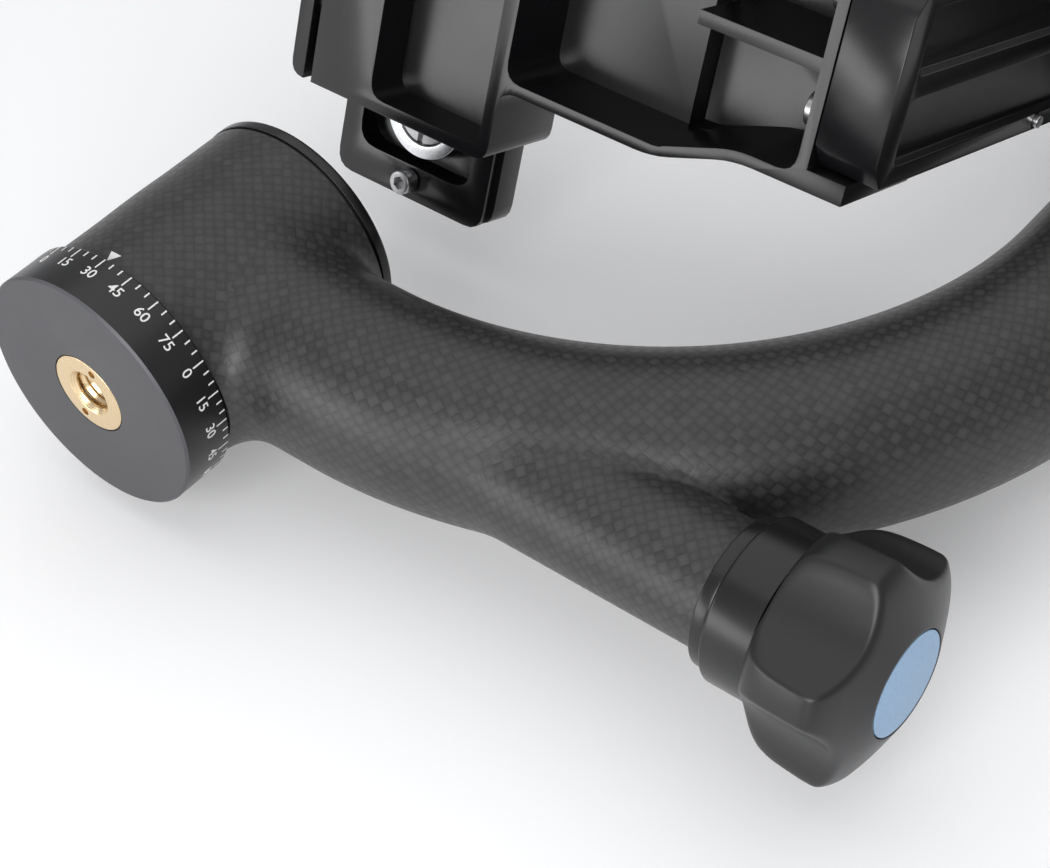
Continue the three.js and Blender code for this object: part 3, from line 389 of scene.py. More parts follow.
def only(piece):
    """Makes one object the active and only selected one."""
    bpy.ops.object.select_all(action="DESELECT")
    piece.select_set(True)
    bpy.context.view_layer.objects.active = piece


def edit(piece):
    """Opens one object for editing, with all of it selected."""
    only(piece)
    bpy.ops.object.mode_set(mode="EDIT")
    bpy.ops.mesh.select_all(action="SELECT")


def modified(piece, kind, **settings):
    """Adds one modifier with its settings and applies it."""
    only(piece)
    modifier = piece.modifiers.new(kind, kind)
    for key, value in settings.items():
        setattr(modifier, key, value)
    bpy.ops.object.modifier_apply(modifier=modifier.name)


def object_from(name, vertices, edges=(), faces=()):
    """A new object in the scene from lists of points, edges and faces."""
    mesh = bpy.data.meshes.new(name)
    mesh.from_pydata(vertices, edges, faces)
    return placed(name, mesh)


def arc_corner(before, corner, after, radius, steps):
    """A rounded corner of an outline, as points on a curve between its two sides."""
    before, corner, after = Vector(before), Vector(corner), Vector(after)
    start = corner + (before - corner).normalized() * radius
    end = corner + (after - corner).normalized() * radius
    return [
        tuple((1 - t) ** 2 * start + 2 * t * (1 - t) * corner + t**2 * end)
        for t in (i / steps for i in range(steps + 1))
    ]


def outline(points, closed, steps=4):
    """An outline of (radius, height) or (radius, height, rounding) points, with its corners rounded."""
    made = []
    count = len(points)
    for i, point in enumerate(points):
        rounding = point[2] if len(point) > 2 else 0
        if rounding and (closed or 0 < i < count - 1):
            before, after = points[i - 1], points[(i + 1) % count]
            made += arc_corner(before[:2], point[:2], after[:2], rounding, steps)
        else:
            made.append(tuple(point[:2]))
    return made


def close_up(piece, sharp=35.0):
    """Merges doubles, turns every face outwards and smooths all but the sharp edges."""
    edit(piece)
    bpy.ops.mesh.remove_doubles(threshold=0.000002)
    bpy.ops.mesh.dissolve_degenerate(threshold=0.000001)
    bpy.ops.mesh.select_all(action="SELECT")
    bpy.ops.mesh.normals_make_consistent(inside=False)
    bpy.ops.object.mode_set(mode="OBJECT")
    bpy.ops.object.shade_smooth_by_angle(angle=math.radians(sharp))


def spun(name, points, place, steps=128, closed=True):
    """Turns an outline of (radius, height) points, in millimetres, about a place's own Z axis."""
    chain = [(r * MM, 0, z * MM) for r, z in outline(points, closed)]
    edges = [(i, i + 1) for i in range(len(chain) - 1)]
    if closed:
        edges.append((len(chain) - 1, 0))
    piece = object_from(name, chain, edges)
    edit(piece)
    bpy.ops.mesh.spin(steps=steps, angle=2 * math.pi, center=(0, 0, 0), axis=(0, 0, 1))
    bpy.ops.object.mode_set(mode="OBJECT")
    close_up(piece)
    piece.data.transform(place)
    return piece


def seated(piece, node):
    """The piece stands for a node, rides on its body and takes its finish."""
    if not piece.data.materials:
        piece.data.materials.append(BY_SLOT[slot_of_node[node]])
    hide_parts(node)
    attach(piece, body_of_node[node])
    return piece


def copy_of(node, name):
    """A merged copy of a node's mesh, with its flat areas made whole again."""
    mesh = nodes[node].data.copy()
    mesh.name = name
    piece = placed(name, mesh)
    edit(piece)
    bpy.ops.mesh.remove_doubles(threshold=0.000002)
    bpy.ops.mesh.dissolve_limited(angle_limit=math.radians(0.5))
    bpy.ops.object.mode_set(mode="OBJECT")
    return piece


def milled(node, width, segments):
    """The node's own faces, with every sharp edge rounded off by a bevel."""
    piece = copy_of(node, node + "_milled")
    modified(
        piece,
        "BEVEL",
        width=width * MM,
        segments=segments,
        limit_method="ANGLE",
        angle_limit=math.radians(40),
        use_clamp_overlap=True,
    )
    bpy.ops.object.shade_smooth_by_angle(angle=math.radians(38))
    return seated(piece, node)


def cylinder(radius, low, high, place, vertices=96):
    bpy.ops.mesh.primitive_cylinder_add(
        vertices=vertices, radius=radius * MM, depth=(high - low) * MM
    )
    made = bpy.context.active_object
    made.data.transform(place @ Matrix.Translation((0, 0, (low + high) / 2 * MM)))
    return made


def cut_with(piece, *tools):
    """Takes each tool away from the piece with a boolean, and then the tool itself."""
    for tool in tools:
        modified(piece, "BOOLEAN", operation="DIFFERENCE", solver="EXACT", object=tool)
        bpy.data.objects.remove(tool)


def ring_like(node, place, bore, edge, at=(0, 0)):
    """A plain round piece, with or without a bore, whose edges are slightly broken."""
    radius, low, high = reach(node, place, at)
    if bore:
        points = [(bore, low, edge), (radius, low, edge), (radius, high, edge), (bore, high, edge)]
    else:
        points = [(0, low), (radius, low, edge), (radius, high, edge), (0, high)]
    seated(spun(node + "_round", points, shifted(place, *at), 96, closed=bool(bore)), node)


# %% [markdown]
# ## The dial base
#
# The base is turned from bar. Its end face is left satin grey and its rim is black, with a fine
# bright chamfer between them. The rim carries a scale: a mark every 5 degrees, a longer one every
# 15, and the numbers 0 to 75 again in each quarter.

# %% Dial body
base_radius, base_low, base_high = reach("base_dial", PAN)
flange_radius, _, insert_high = reach("brass_insert", PAN)
recess_radius = flange_radius + 0.22
SEAT_GAP = 0.3
CHAMFER = 0.55
SPINDLE_SEAT = 16.3
FLANGE_SEAT_DEPTH = 1.9
INSERT_BORE = 7.9
DIAL_FLOOR = 10.0
dial = spun(
    "dial_body",
    [
        (recess_radius, base_low, 0.12),
        (base_radius - CHAMFER, base_low),
        (base_radius, base_low + CHAMFER),
        (base_radius, base_high - 0.35, 0.25),
        (base_radius - 0.5, base_high, 0.25),
        (SPINDLE_SEAT, base_high),
        (SPINDLE_SEAT, DIAL_FLOOR),
        (INSERT_BORE, DIAL_FLOOR),
        (INSERT_BORE, FLANGE_SEAT_DEPTH),
        (recess_radius, FLANGE_SEAT_DEPTH),
    ],
    PAN,
    192,
)
dial.data.materials.append(DIAL_RIM)
dial.data.materials.append(DIAL_FACE)
for face in dial.data.polygons:
    on_end = face.center.z < (base_low + CHAMFER) * MM
    face.material_index = 1 if on_end and face.normal.z < -0.6 else 0
seated(dial, "base_dial")
print("dial", len(dial.data.polygons), "faces")

# %% Marks and numbers on the rim
FIRST_MARK = math.radians(-119.28)
MARK_STEP = 5
LONG_STEP = 15
PAINT_THICKNESS = 0.05
LONG_MARK = 3.0
SHORT_MARK = 1.55
MARK_WIDTH = 0.34
MARK_FROM_TOP = 0.55
NUMBER_HEIGHT = 2.55
NUMBER_FROM_TOP = 6.55
NUMBER_HALF = 2.6
NUMBER_CUT = 0.4
FONT_SHARE = 1.42
STROKE_GROWTH = 0.012
QUARTER = 90


def wrapped(piece, radius):
    """Bends a flat drawing, x along the rim and y up it, round the rim. Z is the paint's thickness."""
    for vertex in piece.data.vertices:
        x, y, z = vertex.co
        angle = x / radius
        out = radius + z
        vertex.co = (out * math.cos(angle), out * math.sin(angle), y)


def flat_mark(width, low, high, x):
    """A thin painted bar, drawn flat in millimetres."""
    bpy.ops.mesh.primitive_cube_add(size=1, location=(x, (low + high) / 2, 0))
    bar = bpy.context.active_object
    bar.scale = (width, high - low, 2 * PAINT_THICKNESS)
    bpy.ops.object.transform_apply(location=True, rotation=True, scale=True)
    return bar


def number_on_rim(text, x):
    """A number as a thin solid, finely cut so that it can bend round the rim."""
    bpy.ops.object.text_add(location=(0, 0, 0))
    label = bpy.context.active_object
    label.data.body = text
    label.data.align_x = "CENTER"
    label.data.size = NUMBER_HEIGHT * FONT_SHARE
    label.data.extrude = PAINT_THICKNESS
    label.data.offset = STROKE_GROWTH
    label.data.resolution_u = 3
    bpy.ops.object.convert(target="MESH")
    label = bpy.context.active_object
    edit(label)
    bpy.ops.mesh.remove_doubles(threshold=0.0001)
    for cut in np.arange(-NUMBER_HALF, NUMBER_HALF + 0.01, NUMBER_CUT):
        bpy.ops.mesh.select_all(action="SELECT")
        bpy.ops.mesh.bisect(plane_co=(cut, 0, 0), plane_no=(1, 0, 0))
    bpy.ops.object.mode_set(mode="OBJECT")
    label.data.transform(Matrix.Translation((x, base_high - NUMBER_FROM_TOP, 0)))
    return label


drawings = []
for degrees in range(0, 360, MARK_STEP):
    along = (FIRST_MARK + math.radians(degrees)) * base_radius
    long_one = degrees % LONG_STEP == 0
    top = base_high - MARK_FROM_TOP
    length = LONG_MARK if long_one else SHORT_MARK
    drawings.append(flat_mark(MARK_WIDTH, top - length, top, along))
    if long_one:
        drawings.append(number_on_rim(str(degrees % QUARTER), along))
only(drawings[0])
for drawing in drawings:
    drawing.select_set(True)
bpy.ops.object.join()
scale_marks = bpy.context.active_object
scale_marks.name = "dial_scale"
wrapped(scale_marks, base_radius)
scale_marks.data.transform(Matrix.Scale(MM, 4))
scale_marks.data.materials.clear()
scale_marks.data.materials.append(PAINT)
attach(scale_marks, "base")
print("scale of", 360 // MARK_STEP, "marks,", len(scale_marks.data.polygons), "faces")

# %% [markdown]
# ## The brass insert
#
# A threaded brass bushing takes the tripod's stud. Its mouth is flared, the thread shows as fine
# ridges inside, and two small holes take a pin spanner.

# %% Brass insert
STUD_RADIUS = 4.76
FLARE = 1.15
INSERT_RADIUS = 7.6
FLANGE_THICKNESS = 1.6
THREAD_PITCH = 1.5875
THREAD_DEPTH = 0.55
turns = int((insert_high - FLARE) / THREAD_PITCH)
threads = []
for i in range(turns, 0, -1):
    start = FLARE + i * THREAD_PITCH
    threads += [(STUD_RADIUS + THREAD_DEPTH, start), (STUD_RADIUS, start - THREAD_PITCH / 2)]
insert = spun(
    "insert_body",
    [
        (STUD_RADIUS + FLARE, 0.0, 0.15),
        (flange_radius, 0.0, 0.22),
        (flange_radius, FLANGE_THICKNESS),
        (INSERT_RADIUS, FLANGE_THICKNESS),
        (INSERT_RADIUS, insert_high),
        (STUD_RADIUS + THREAD_DEPTH, insert_high),
        *threads,
        (STUD_RADIUS, FLARE, 0.2),
    ],
    PAN,
    128,
)
SPANNER_CIRCLE = 7.8
SPANNER_RADIUS = 0.95
SPANNER_DEPTH = 1.3
SPANNER_TURN = math.radians(112)
OVERRUN = 1.0
for side in (0, math.pi):
    angle = SPANNER_TURN + side
    hole = shifted(PAN, SPANNER_CIRCLE * math.cos(angle), SPANNER_CIRCLE * math.sin(angle))
    cut_with(insert, cylinder(SPANNER_RADIUS, -OVERRUN, SPANNER_DEPTH, hole, 24))
close_up(insert)
seated(insert, "brass_insert")
print("brass insert with", turns, "thread ridges")

# %% [markdown]
# ## The carbon arm
#
# Drum, tube, lock boss and hub are one moulding, so they meet in fillets rather than in seams. A
# voxel remesh fuses four simple bodies into one skin. Each of its points is then slid onto the
# surface of a smooth union of the four, which gives true cylinders with a soft fillet between them.
# Booleans cut the ends flat and open the bores, and a UV map unrolls the tube for the weave.

# %% Arm shape as distances
DRUM_RADIUS = 28.5
TUBE_RADIUS = 21.8
TUBE_HEIGHT = 38.1
STRAIGHT_RUN = 45.8
BEND_RADIUS = 115.9
HUB_RADIUS = 29.0
BOSS_RADIUS = 14.2
DRUM_FILLET = 9.0
BOSS_FILLET = 2.5
HUB_FILLET = 8.0
TILT_HEIGHT = tilt_height / MM
ARM_REACH = STRAIGHT_RUN + BEND_RADIUS
BEND_TOP = TUBE_HEIGHT + BEND_RADIUS
DRUM_COUNTS_BELOW = 130.0
HUB_COUNTS_ABOVE = 190.0
FAR = 100.0


def tube_place(points):
    """For points in millimetres: run along the arm's centre line, and the two offsets from it."""
    x, y, z = points.T
    dx, dz = x - STRAIGHT_RUN, BEND_TOP - z
    angle = np.clip(np.arctan2(dx, dz), 0, math.pi / 2)
    angle = np.where(dz < 0, math.pi / 2, np.where(dx < 0, 0, angle))
    centre_x = STRAIGHT_RUN + BEND_RADIUS * np.sin(angle)
    centre_z = BEND_TOP - BEND_RADIUS * np.cos(angle)
    centre_x = np.where(dx < 0, np.maximum(x, 0), centre_x)
    centre_z = np.where((dz < 0) & (dx > 0), np.minimum(z, TILT_HEIGHT), centre_z)
    inward = (x - centre_x) * -np.sin(angle) + (z - centre_z) * np.cos(angle)
    run = np.where(dx < 0, x, STRAIGHT_RUN + BEND_RADIUS * angle)
    run = run + np.where((dz < 0) & (dx > 0), z - BEND_TOP, 0)
    offset = np.sqrt((x - centre_x) ** 2 + y**2 + (z - centre_z) ** 2)
    return run, inward, y, offset


LOCK_BACK = np.array(LOCK.inverted())


def in_lock(points):
    return points @ LOCK_BACK[:3, :3].T + LOCK_BACK[:3, 3] / MM


def smooth_min(a, b, k):
    """The smaller of two distances, rounded over a band of width k."""
    h = np.clip(0.5 + 0.5 * (b - a) / k, 0, 1)
    return b * (1 - h) + a * h - k * h * (1 - h)


def four_distances(points):
    drum = np.hypot(points[:, 0], points[:, 1]) - DRUM_RADIUS
    tube = tube_place(points)[3] - TUBE_RADIUS
    local = in_lock(points)
    boss = np.hypot(local[:, 0], local[:, 1]) - BOSS_RADIUS
    boss = np.where(local[:, 2] < 0, np.linalg.norm(local, axis=1) - BOSS_RADIUS, boss)
    hub = np.hypot(points[:, 1], points[:, 2] - TILT_HEIGHT) - HUB_RADIUS
    return drum, tube, boss, hub


def arm_distance(points):
    """Distance to the arm's outer skin, with the drum and hub taken as endless cylinders."""
    drum, tube, boss, hub = four_distances(points)
    drum = np.where(points[:, 2] > DRUM_COUNTS_BELOW, FAR, drum)
    hub = np.where(points[:, 2] < HUB_COUNTS_ABOVE, FAR, hub)
    whole = smooth_min(drum, tube, DRUM_FILLET)
    whole = smooth_min(whole, boss, BOSS_FILLET)
    return smooth_min(whole, hub, HUB_FILLET)


def slide_onto_skin(points, rounds=5, step=0.02):
    """Newton's method: each point moves along the slope until its distance is zero."""
    for _ in range(rounds):
        here = arm_distance(points)
        slope = np.zeros_like(points)
        for axis in range(3):
            nudged = points.copy()
            nudged[:, axis] += step
            slope[:, axis] = (arm_distance(nudged) - here) / step
        length = np.maximum((slope**2).sum(1), 0.05)
        points = points - slope * (here / length)[:, None]
    return points


print("arm reaches", ARM_REACH, "mm out and", round(TILT_HEIGHT, 1), "mm up")

# %% Arm blank
DRUM_LOW, DRUM_HIGH = 13.3, 65.0
HUB_INNER, HUB_OUTER = 139.4, 187.0
BOSS_START, BOSS_END = 10.0, 146.8
SPARE = 5.0
LEFT_ALONE = 1.5
HUB_ENDS_ABOVE = 200.0
VOXEL = 1.15
BEND_STEPS = 32


def arm_tube():
    """A circle carried along the arm's centre line, as a filled bevelled curve."""
    line = bpy.data.curves.new("arm_line", "CURVE")
    line.dimensions = "3D"
    bends = [i / BEND_STEPS * math.pi / 2 for i in range(BEND_STEPS + 1)]
    path = [(0, TUBE_HEIGHT)]
    path += [
        (STRAIGHT_RUN + BEND_RADIUS * math.sin(a), BEND_TOP - BEND_RADIUS * math.cos(a))
        for a in bends
    ]
    path.append((ARM_REACH, TILT_HEIGHT))
    spline = line.splines.new("POLY")
    spline.points.add(len(path) - 1)
    for point, (x, z) in zip(spline.points, path):
        point.co = (x * MM, 0, z * MM, 1)
    line.bevel_depth = TUBE_RADIUS * MM
    line.bevel_resolution = 20
    line.use_fill_caps = True
    only(placed("arm_line", line))
    bpy.ops.object.convert(target="MESH")
    return bpy.context.active_object


def arm_blank():
    """The four bodies, each a little too long at its ends, fused into one skin."""
    bodies = [
        cylinder(DRUM_RADIUS, DRUM_LOW - SPARE, DRUM_HIGH + SPARE, PAN),
        arm_tube(),
        cylinder(BOSS_RADIUS, BOSS_START, BOSS_END + SPARE, LOCK, 64),
        cylinder(HUB_RADIUS, HUB_INNER - SPARE, HUB_OUTER + SPARE, TILT),
    ]
    only(bodies[0])
    for part in bodies:
        part.select_set(True)
    bpy.ops.object.join()
    blank = bpy.context.active_object
    modified(blank, "REMESH", mode="VOXEL", voxel_size=VOXEL * MM)
    return blank


arm = arm_blank()
arm.name = "arm_skin"
corners = np.array([v.co for v in arm.data.vertices]) / MM
x, y, z = corners.T
beyond = SPARE - LEFT_ALONE
hub_middle, hub_half = (HUB_OUTER + HUB_INNER) / 2, (HUB_OUTER - HUB_INNER) / 2
ends = (
    (z < DRUM_LOW - beyond)
    | ((z > DRUM_HIGH + beyond) & (np.hypot(x, y) < DRUM_RADIUS + beyond))
    | ((z > HUB_ENDS_ABOVE) & (np.abs(x - hub_middle) > hub_half + beyond))
    | (in_lock(corners)[:, 2] > BOSS_END + beyond)
)
corners[~ends] = slide_onto_skin(corners[~ends])
for vertex, corner in zip(arm.data.vertices, corners):
    vertex.co = corner * MM
print("arm skin", len(arm.data.polygons), "faces")

# %% Arm ends and bores
DRUM_BORE = 24.5
HUB_BORE = 25.0
STEM_BORE = 9.0
STEM_DEPTH = 12.3
LOW_TRIM, TRIM, BOSS_TRIM = 36, 40, 20
TRIM_LENGTH = 3 * SPARE

cut_with(
    arm,
    cylinder(LOW_TRIM, DRUM_LOW - TRIM_LENGTH, DRUM_LOW, PAN, 64),
    cylinder(TRIM, DRUM_HIGH, DRUM_HIGH + TRIM_LENGTH, PAN, 64),
    cylinder(TRIM, HUB_INNER - TRIM_LENGTH, HUB_INNER, TILT, 64),
    cylinder(TRIM, HUB_OUTER, HUB_OUTER + TRIM_LENGTH, TILT, 64),
    cylinder(BOSS_TRIM, BOSS_END, BOSS_END + TRIM_LENGTH, LOCK, 64),
    cylinder(DRUM_BORE, DRUM_LOW - SPARE, DRUM_HIGH + SPARE, PAN, 128),
    cylinder(HUB_BORE, HUB_INNER - SPARE, HUB_OUTER + SPARE, TILT, 128),
    cylinder(STEM_BORE, BOSS_END - STEM_DEPTH, BOSS_END + SPARE, LOCK, 64),
)
print("arm cut to", len(arm.data.polygons), "faces")

# %% Arm weave map


def weave_map(piece):
    """Unrolls each face in millimetres, by the one of the four bodies that it lies on."""
    mesh = piece.data
    layer = mesh.uv_layers.new(name="weave")
    centres = np.array([p.center for p in mesh.polygons]) / MM
    nearest = np.argmin(np.abs(np.array(four_distances(centres))), axis=0)
    high = centres[:, 2] > HUB_COUNTS_ABOVE
    nearest = np.where((nearest == 0) & high, 1, nearest)
    nearest = np.where((nearest == 3) & ~high, 1, nearest)
    points = np.array([v.co for v in mesh.vertices]) / MM
    run, inward, side, _ = tube_place(points)
    local = in_lock(points)
    flats = [
        (points[:, 2], np.arctan2(points[:, 1], -points[:, 0]), DRUM_RADIUS),
        (run, np.arctan2(side, inward), TUBE_RADIUS),
        (local[:, 2], np.arctan2(local[:, 1], local[:, 0]), BOSS_RADIUS),
        (points[:, 0], np.arctan2(points[:, 1], points[:, 2] - TILT_HEIGHT), HUB_RADIUS),
    ]
    for face in mesh.polygons:
        along, angle, radius = flats[nearest[face.index]]
        first = angle[face.vertices[0]]
        for loop, vertex in zip(face.loop_indices, face.vertices):
            turned_by = angle[vertex]
            turned_by -= 2 * math.pi * round((turned_by - first) / (2 * math.pi))
            layer.data[loop].uv = (along[vertex], turned_by * radius)


weave_map(arm)
only(arm)
bpy.ops.object.shade_smooth_by_angle(angle=math.radians(40))
arm.data.materials.clear()
seated(arm, "carbon_arm")
print("weave map on", len(arm.data.uv_layers[0].data), "corners")

# %% Pointer on the drum
POINTER_WIDTH = 3.0
POINTER_HEIGHT = 2.9
POINTER_GAP = 0.15
POINTER_READS = 28

angle = FIRST_MARK + math.radians(POINTER_READS)
low = DRUM_LOW + POINTER_GAP
along = angle * DRUM_RADIUS
half = POINTER_WIDTH / 2
flat = [(along, low), (along + half, low + POINTER_HEIGHT), (along - half, low + POINTER_HEIGHT)]
layers = [(x, y, z) for z in (-PAINT_THICKNESS, PAINT_THICKNESS) for x, y in flat]
faces = [(2, 1, 0), (3, 4, 5), (0, 1, 4, 3), (1, 2, 5, 4), (2, 0, 3, 5)]
made = object_from("dial_pointer", layers, (), faces)
edit(made)
bpy.ops.mesh.subdivide(number_cuts=3)
bpy.ops.mesh.select_all(action="SELECT")
bpy.ops.mesh.normals_make_consistent(inside=False)
bpy.ops.object.mode_set(mode="OBJECT")
wrapped(made, DRUM_RADIUS)
made.data.transform(Matrix.Scale(MM, 4))
made.data.materials.append(PAINT)
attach(made, "arm")
print("pointer at", POINTER_READS)

# %% [markdown]
# ## Caps, collars and sleeves
#
# These are plain turned rings in satin black. What makes them read as machined is the small radius
# on each edge, which catches a thin line of light, and the shadow gap where two of them meet.

# %% Drum cap and hub rings
CAP_GROOVE = 0.6
GROOVE_HEIGHT = 0.5
CAP_LIP = 3.2
DISH_DEPTH = 0.5
PLUG_RADIUS = 24.2
PLUG_DEPTH = 2.4
LINER_BORE = 17.5
RING_BORE = 8.8
cap_radius, plug_low, cap_top = reach("drum_cap", PAN)
cap_low = plug_low + PLUG_DEPTH
drum_cap = spun(
    "drum_cap_body",
    [
        (0, plug_low),
        (PLUG_RADIUS, plug_low, 0.3),
        (PLUG_RADIUS, cap_low),
        (cap_radius - CAP_GROOVE, cap_low),
        (cap_radius - CAP_GROOVE, cap_low + GROOVE_HEIGHT),
        (cap_radius, cap_low + GROOVE_HEIGHT, 0.2),
        (cap_radius, cap_top, 0.7),
        (cap_radius - CAP_LIP, cap_top, 0.3),
        (cap_radius - CAP_LIP - 0.4, cap_top - DISH_DEPTH, 0.3),
        (0, cap_top - DISH_DEPTH),
    ],
    PAN,
    160,
    closed=False,
)
seated(drum_cap, "drum_cap")

hub_cap_radius, hub_plug_low, hub_cap_top = reach("hub_cap", TILT)
hub_cap_low = hub_plug_low + PLUG_DEPTH
hub_cap = spun(
    "hub_cap_body",
    [
        (STEM_BORE, hub_plug_low),
        (HUB_BORE - SEAT_GAP, hub_plug_low, 0.3),
        (HUB_BORE - SEAT_GAP, hub_cap_low),
        (hub_cap_radius - CAP_GROOVE, hub_cap_low),
        (hub_cap_radius - CAP_GROOVE, hub_cap_low + GROOVE_HEIGHT),
        (hub_cap_radius, hub_cap_low + GROOVE_HEIGHT, 0.2),
        (hub_cap_radius, hub_cap_top, 0.9),
        (STEM_BORE, hub_cap_top),
    ],
    TILT,
    160,
)
seated(hub_cap, "hub_cap")
ring_like("hub_inner_ring", TILT, RING_BORE, 0.35)
ring_like("hub_liner", TILT, LINER_BORE, 0.2)
ring_like("pan_liner", PAN, LINER_BORE, 0.2)
print("caps and rings")

# %% Collars and sleeves
COLLAR_THICKNESS = 3.3
STEM_RADIUS = 8.7
ROD_BORE = 3.5
SPIGOT_LENGTH = 6.0
SPIGOT_RADIUS = 14.8
for prefix, place in (("pan", LOCK), ("tilt", TILT)):
    radius, stem_low, top = reach(prefix + "_collar", place)
    shoulder = top - COLLAR_THICKNESS
    collar = spun(
        prefix + "_collar_body",
        [
            (ROD_BORE, stem_low),
            (STEM_RADIUS, stem_low),
            (STEM_RADIUS, shoulder),
            (radius, shoulder, 0.5),
            (radius, top, 0.6),
            (ROD_BORE, top),
        ],
        place,
    )
    seated(collar, prefix + "_collar")
    radius, low, spigot_top = reach(prefix + "_knob_sleeve", place)
    shoulder = spigot_top - SPIGOT_LENGTH
    sleeve = spun(
        prefix + "_sleeve_body",
        [
            (ROD_BORE, low),
            (radius, low, 0.7),
            (radius, shoulder),
            (SPIGOT_RADIUS, shoulder),
            (SPIGOT_RADIUS, spigot_top),
            (ROD_BORE, spigot_top),
        ],
        place,
    )
    seated(sleeve, prefix + "_knob_sleeve")
    ring_like(prefix + "_lock_rod", place, 0, 0.3)
    ring_like(prefix + "_brake_pad", place, 0, 0.4)
print("collars and sleeves")

# %% [markdown]
# ## Lobed knobs
#
# A lock knob is a moulded mushroom with five finger scallops, each part of a cylinder that stands
# parallel to the knob's axis. It is drawn as one fine grid: the rows follow the side and the dome,
# the columns go round, and every point is drawn in to the scallop that passes it. A rounded minimum
# leaves a small radius along the scallop's edge, as the mould does.

# %% Lock knobs
KNOB_RADIUS = 26.3
KNOB_HEIGHT = 25.1
LOBES = 5
FLUTE_RADIUS = 22.5
FLUTE_DEPTH = 6.3
FIRST_FLUTE = math.radians(14)
FLUTE_EDGE = 2.4
DISC_RADIUS = 11.5
DISC_DEPTH = 1.5
SOCKET_RADIUS = 15.1
SOCKET_DEPTH = 6.3
SOCKET_WALL = 0.5
MOUTH_EDGE = 0.12
RIM_STEP = 0.42
SOFT_ANGLE = math.radians(48)
SIDE_SHARES = [(0.68, 0.0), (0.81, 0.03), (0.90, 0.10), (0.945, 0.17), (0.975, 0.27), (0.99, 0.42)]
DOME_SHARES = [(1.0, 0.62), (0.993, 0.715), (0.93, 0.785), (0.82, 0.845), (0.68, 0.905), (0.46, 1.0)]


def smooth_chain(points, rounds):
    """Chaikin's corner cutting, which turns a coarse outline into a soft one."""
    for _ in range(rounds):
        finer = [points[0]]
        for a, b in zip(points, points[1:]):
            finer.append((a[0] * 0.75 + b[0] * 0.25, a[1] * 0.75 + b[1] * 0.25))
            finer.append((a[0] * 0.25 + b[0] * 0.75, a[1] * 0.25 + b[1] * 0.75))
        finer.append(points[-1])
        points = finer
    return points


def evenly(points, step):
    """The same line with a point at every step along it."""
    line = np.array(points)
    run = np.concatenate([[0], np.cumsum(np.hypot(*np.diff(line, axis=0).T))])
    marks = np.linspace(0, run[-1], int(math.ceil(run[-1] / step)) + 1)
    return [(float(np.interp(m, run, line[:, 0])), float(np.interp(m, run, line[:, 1]))) for m in marks]


def scallop_limit(angle, first, count, radius, flute, depth):
    """How far out a scallop lets the surface come at an angle, or None between two scallops."""
    step = 2 * math.pi / count
    off = (angle - first + step / 2) % step - step / 2
    centre = radius - depth + flute
    inside = flute**2 - (centre * math.sin(off)) ** 2
    if inside <= 0:
        return None
    return centre * math.cos(off) - math.sqrt(inside)


def scalloped(piece, first, count, radius, flute, depth, edge, core):
    """Draws each point of an upright piece in to the scallop that passes it."""
    for vertex in piece.data.vertices:
        x, y, z = vertex.co / MM
        out = math.hypot(x, y)
        limit = scallop_limit(math.atan2(y, x), first, count, radius, flute, depth)
        if out < core or limit is None:
            continue
        share = min(max(0.5 + 0.5 * (limit - out) / edge, 0), 1)
        drawn = limit * (1 - share) + out * share - edge * share * (1 - share)
        drawn = max(drawn, core)
        vertex.co = (x * drawn / out * MM, y * drawn / out * MM, z * MM)


def lock_knob(prefix, place):
    _, low, _ = reach(prefix + "_knob", place)
    seat = DISC_RADIUS + SEAT_GAP
    shares = SIDE_SHARES + DOME_SHARES
    rim = smooth_chain([(KNOB_RADIUS * out, KNOB_HEIGHT * up) for out, up in shares], 3)
    profile = [(SOCKET_RADIUS, SOCKET_DEPTH), (SOCKET_RADIUS, 0.0)]
    profile += evenly(rim, RIM_STEP)
    profile += [(seat + MOUTH_EDGE, KNOB_HEIGHT), (seat, KNOB_HEIGHT - MOUTH_EDGE)]
    profile += [(seat, KNOB_HEIGHT - DISC_DEPTH), (ROD_BORE, KNOB_HEIGHT - DISC_DEPTH)]
    profile += [(ROD_BORE, SOCKET_DEPTH)]
    knob = spun(prefix + "_knob_body", profile, PAN, 400)
    core = SOCKET_RADIUS + SOCKET_WALL
    scalloped(
        knob, FIRST_FLUTE, LOBES, KNOB_RADIUS, FLUTE_RADIUS, FLUTE_DEPTH, FLUTE_EDGE, core
    )
    knob.data.transform(place @ Matrix.Translation((0, 0, low * MM)))
    only(knob)
    bpy.ops.object.shade_smooth_by_angle(angle=SOFT_ANGLE)
    seated(knob, prefix + "_knob")
    radius, disc_low, disc_top = reach(prefix + "_knob_disc", place)
    disc = spun(
        prefix + "_disc_body",
        [(0, disc_low), (radius, disc_low), (radius, disc_top, 0.12), (0, disc_top)],
        place,
        closed=False,
    )
    seated(disc, prefix + "_knob_disc")


lock_knob("pan", LOCK)
lock_knob("tilt", TILT)
print("two lock knobs")

# %% Small grip knobs
GRIP_RIM_SHARES = [(0.86, 0.0), (0.96, 0.03), (1.0, 0.10), (1.0, 0.84), (0.97, 0.95), (0.88, 1.0)]
GRIP_DISH = 1.0
DISH_FLOOR_SHARE, DISH_LIP_SHARE = 0.62, 0.72
GRIP_ROOF = 3.1
GRIP_EDGE = 0.9
GRIP_CORE_SHARE = 0.75
SCREW_BORE = 3.3


